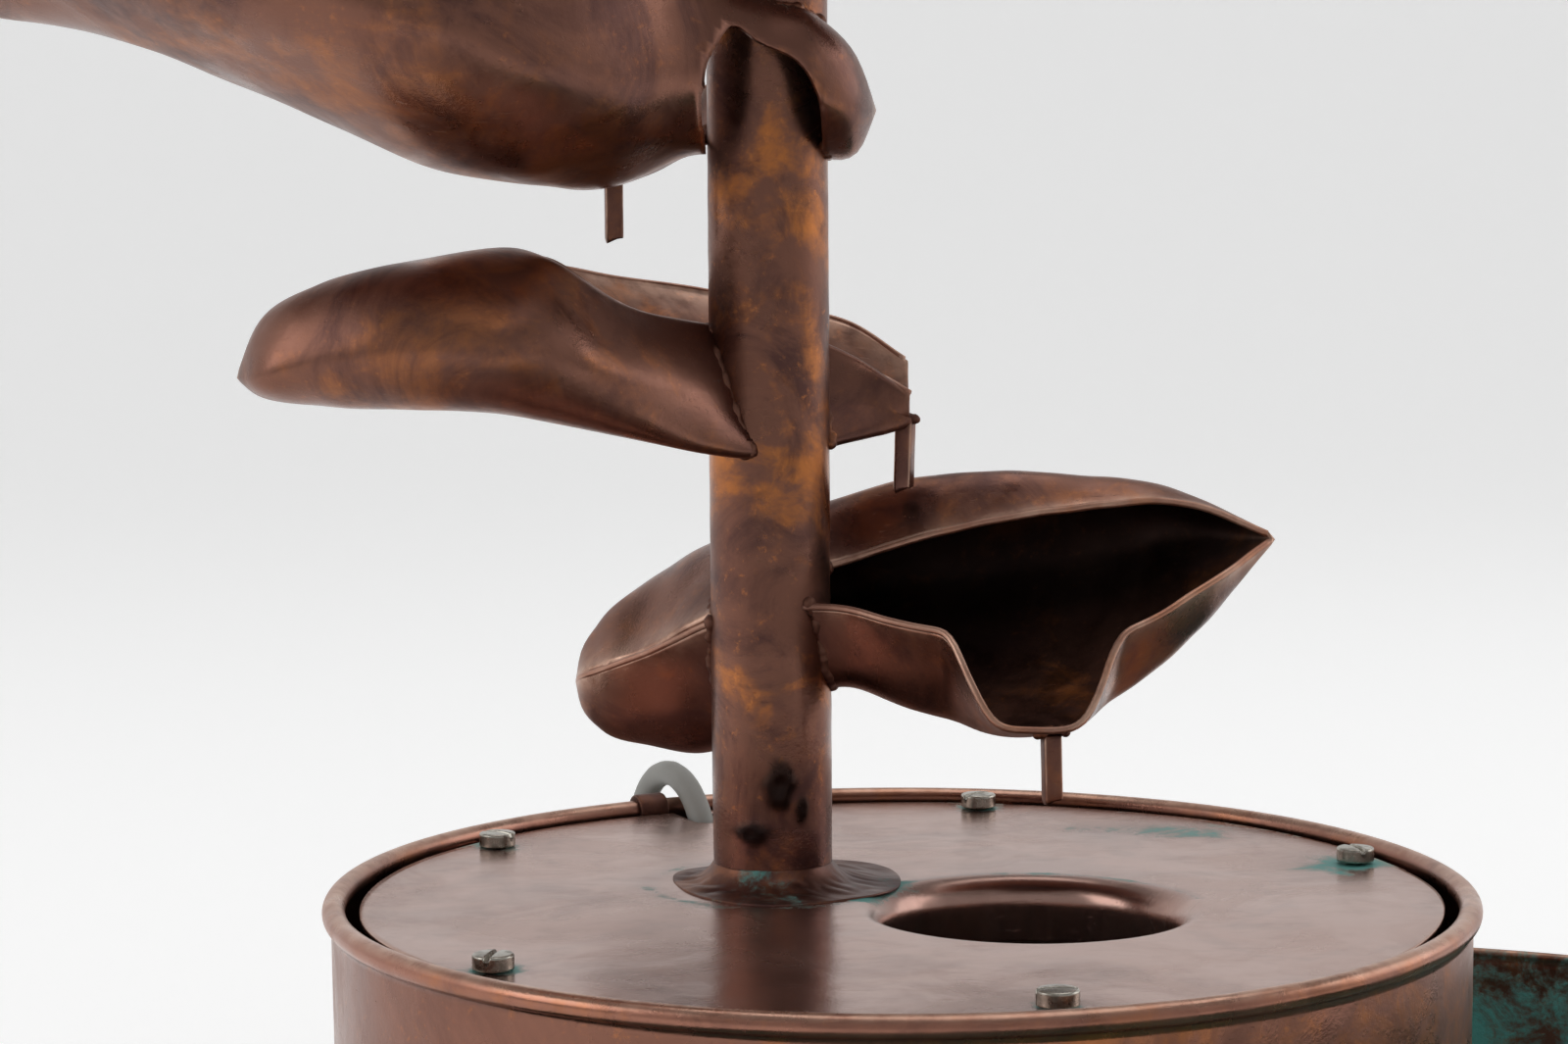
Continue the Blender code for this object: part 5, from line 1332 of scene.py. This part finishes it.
FINISH_OF = {
    "drum_base": "Tray copper", "lid_lug": "Hidden copper", "pump_housing": "Pump plastic fine",
    "pump_cover": "Pump plastic fine", "intake_grille": "Pump plastic fine", "flow_dial": "Pump plastic fine",
    "impeller_vanes": "Pump plastic fine", "outlet_barb": "Pump plastic fine", "suction_foot": "Rubber fine",
    "hose_bush": "Rubber fine", "riser_hose": "Clear vinyl", "hose_clamp": "Bright steel",
    "plug_pin": "Bright steel", "rotor_magnet": "Ferrite", "pump_shaft": "Ceramic", "foam_filter": "Open foam",
}


class FOUNTAIN_OT_pump(bpy.types.Operator):
    """Finishes of the pump, its hose and the other pieces that keep their own shape"""

    bl_idname = "fountain.pump"
    bl_label = "Pump and fittings"

    def execute(self, context):
        for name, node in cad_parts.items():
            finish = next((skin for start, skin in FINISH_OF.items() if name.startswith(start)), None)
            if finish is None:
                continue
            for place in node.material_slots:
                place.material = bpy.data.materials[finish]
        return {"FINISHED"}


# ---- stage ---------------------------------------------------------------------------------

CAMERA_SPOT = (-26.2, -846.0, 275.5)
CAMERA_PITCH = 5.7
CAMERA_ROLL = -0.4
# Strength of the backdrop's painted glow: near the middle and far behind
GLOW_NEAR = 0.31
GLOW_FAR = 0.27
LENS = 85.0


class FOUNTAIN_OT_camera(bpy.types.Operator):
    """A long lens at the height of the upper leaves, looking a little down"""

    bl_idname = "fountain.camera"
    bl_label = "Camera"

    def execute(self, context):
        data = bpy.data.cameras.new("Camera")
        data.lens = LENS
        data.sensor_width = 36.0
        data.clip_start = 0.05
        data.clip_end = 50.0
        camera = bpy.data.objects.new("Camera", data)
        context.scene.collection.objects.link(camera)
        camera.location = [value * MM for value in CAMERA_SPOT]
        tilt = Matrix.Rotation(math.radians(90.0 - CAMERA_PITCH), 4, "X")
        roll = Matrix.Rotation(math.radians(CAMERA_ROLL), 4, "Z")
        camera.rotation_euler = (tilt @ roll).to_euler()
        context.scene.camera = camera
        return {"FINISHED"}


class FOUNTAIN_OT_stage(bpy.types.Operator):
    """A pale floor that curves up into a round backdrop with a painted glow, soft boxes and a soft sky"""

    bl_idname = "fountain.stage"
    bl_label = "Stage and lights"

    def execute(self, context):
        self.make_bowl()
        self.add_light("Top box", (0.2, 0.3, 1.9), (0.0, 0.0, 0.2), 1.6, 9.0)
        self.add_light("Left box", (-1.6, -0.5, 1.0), (0.0, 0.0, 0.25), 1.1, 6.0)
        self.add_light("Right box", (1.7, 0.6, 0.9), (0.0, 0.0, 0.25), 1.1, 4.5)
        world = bpy.data.worlds.new("Soft sky")
        world.use_nodes = True
        context.scene.world = world
        sky = world.node_tree.nodes["Background"]
        sky.inputs["Color"].default_value = (1.0, 1.0, 1.0, 1.0)
        sky.inputs["Strength"].default_value = 0.30
        context.scene.view_settings.view_transform = "Standard"
        return {"FINISHED"}

    def make_bowl(self):
        """Floor out to 2 m, then a quarter round of 1.3 m radius, then an upright wall."""
        floor = np.c_[np.linspace(0.0, 2000.0, 12), np.zeros(12)]
        curve = arc((2000.0, 1300.0), 1300.0, -90.0, 0.0, 24)[1:]
        wall = np.array([(3300.0, 2600.0)])
        profile = np.concatenate([floor, curve, wall])
        angle = np.linspace(0.0, 2 * math.pi, 96, endpoint=False)[:, None]
        surface = np.stack([profile[:, 0] * np.cos(angle), profile[:, 0] * np.sin(angle),
                            np.broadcast_to(profile[:, 1] - 0.2, (96, len(profile)))], axis=-1)
        mesh = bpy.data.meshes.new("Backdrop")
        faces = grid_faces(96, len(profile), wrap_rows=True)
        mesh.from_pydata((surface.reshape(-1, 3) * MM).tolist(), [], faces.tolist())
        shape = bmesh.new()
        shape.from_mesh(mesh)
        bmesh.ops.remove_doubles(shape, verts=shape.verts, dist=1e-5)
        shape.to_mesh(mesh)
        shape.free()
        mesh.shade_smooth()
        bowl = bpy.data.objects.new("Backdrop", mesh)
        bpy.context.scene.collection.objects.link(bowl)
        mesh.materials.append(self.paper())

    def paper(self):
        """Pale paper with a painted glow that stands in for light from behind: emission most on the far side, none
        by the camera.
        """
        tone = opaque(bpy.context.scene.fountain_colours.stage)
        skin, tree, shader, place = start_skin("Backdrop paper")
        shader.inputs["Base Color"].default_value = tone
        shader.inputs["Roughness"].default_value = 0.9
        split = add(tree, "SeparateXYZ", {0: place}).outputs
        # Painted light: emission that is none on the camera's side and rises behind the fountain, giving a dark
        # room and a lit backdrop in the metal's reflections
        glow = maths(tree, "MULTIPLY", between(tree, split["Y"], -1.0, -0.1),
                     between(tree, split["Y"], 0.3, 2.4, GLOW_NEAR, GLOW_FAR))
        shade = add(tree, "CombineColor", {0: glow, 1: glow, 2: glow}).outputs[0]
        tree.links.new(shade, shader.inputs["Emission Color"])
        shader.inputs["Emission Strength"].default_value = 1.0
        return skin

    def add_light(self, name, spot, aim, size, power):
        data = bpy.data.lights.new(name, "AREA")
        data.shape = "SQUARE"
        data.size = size
        data.energy = power
        light = bpy.data.objects.new(name, data)
        bpy.context.scene.collection.objects.link(light)
        light.location = spot
        light.rotation_euler = (Vector(aim) - Vector(spot)).to_track_quat("-Z", "Y").to_euler()


# ---- panel, registration and the run -------------------------------------------------------

OPERATORS = (FOUNTAIN_OT_camera, FOUNTAIN_OT_cord, FOUNTAIN_OT_leaves, FOUNTAIN_OT_column, FOUNTAIN_OT_lid,
             FOUNTAIN_OT_drum, FOUNTAIN_OT_tray, FOUNTAIN_OT_screws, FOUNTAIN_OT_pump, FOUNTAIN_OT_stage)


class FOUNTAIN_PT_panel(bpy.types.Panel):
    """Sizes, colours and pieces of the fountain"""

    bl_label = "Fountain"
    bl_idname = "FOUNTAIN_PT_panel"
    bl_space_type = "VIEW_3D"
    bl_region_type = "UI"
    bl_category = "Fountain"

    def draw(self, context):
        for group in (context.scene.fountain_sizes, context.scene.fountain_colours):
            box = self.layout.box()
            for key in group.bl_rna.properties.keys():
                if key not in ("rna_type", "name"):
                    box.prop(group, key)
        for operator in OPERATORS:
            self.layout.operator(operator.bl_idname)


CLASSES = (FountainSizes, FountainColours, *OPERATORS, FOUNTAIN_PT_panel)


def register():
    for kind in CLASSES:
        bpy.utils.register_class(kind)
    bpy.types.Scene.fountain_sizes = PointerProperty(type=FountainSizes)
    bpy.types.Scene.fountain_colours = PointerProperty(type=FountainColours)


def unregister():
    del bpy.types.Scene.fountain_colours
    del bpy.types.Scene.fountain_sizes
    for kind in reversed(CLASSES):
        bpy.utils.unregister_class(kind)


def main():
    register()
    make_skins()
    for operator in OPERATORS:
        group, name = operator.bl_idname.split(".")
        getattr(getattr(bpy.ops, group), name)()


if __name__ == "__main__":
    main()
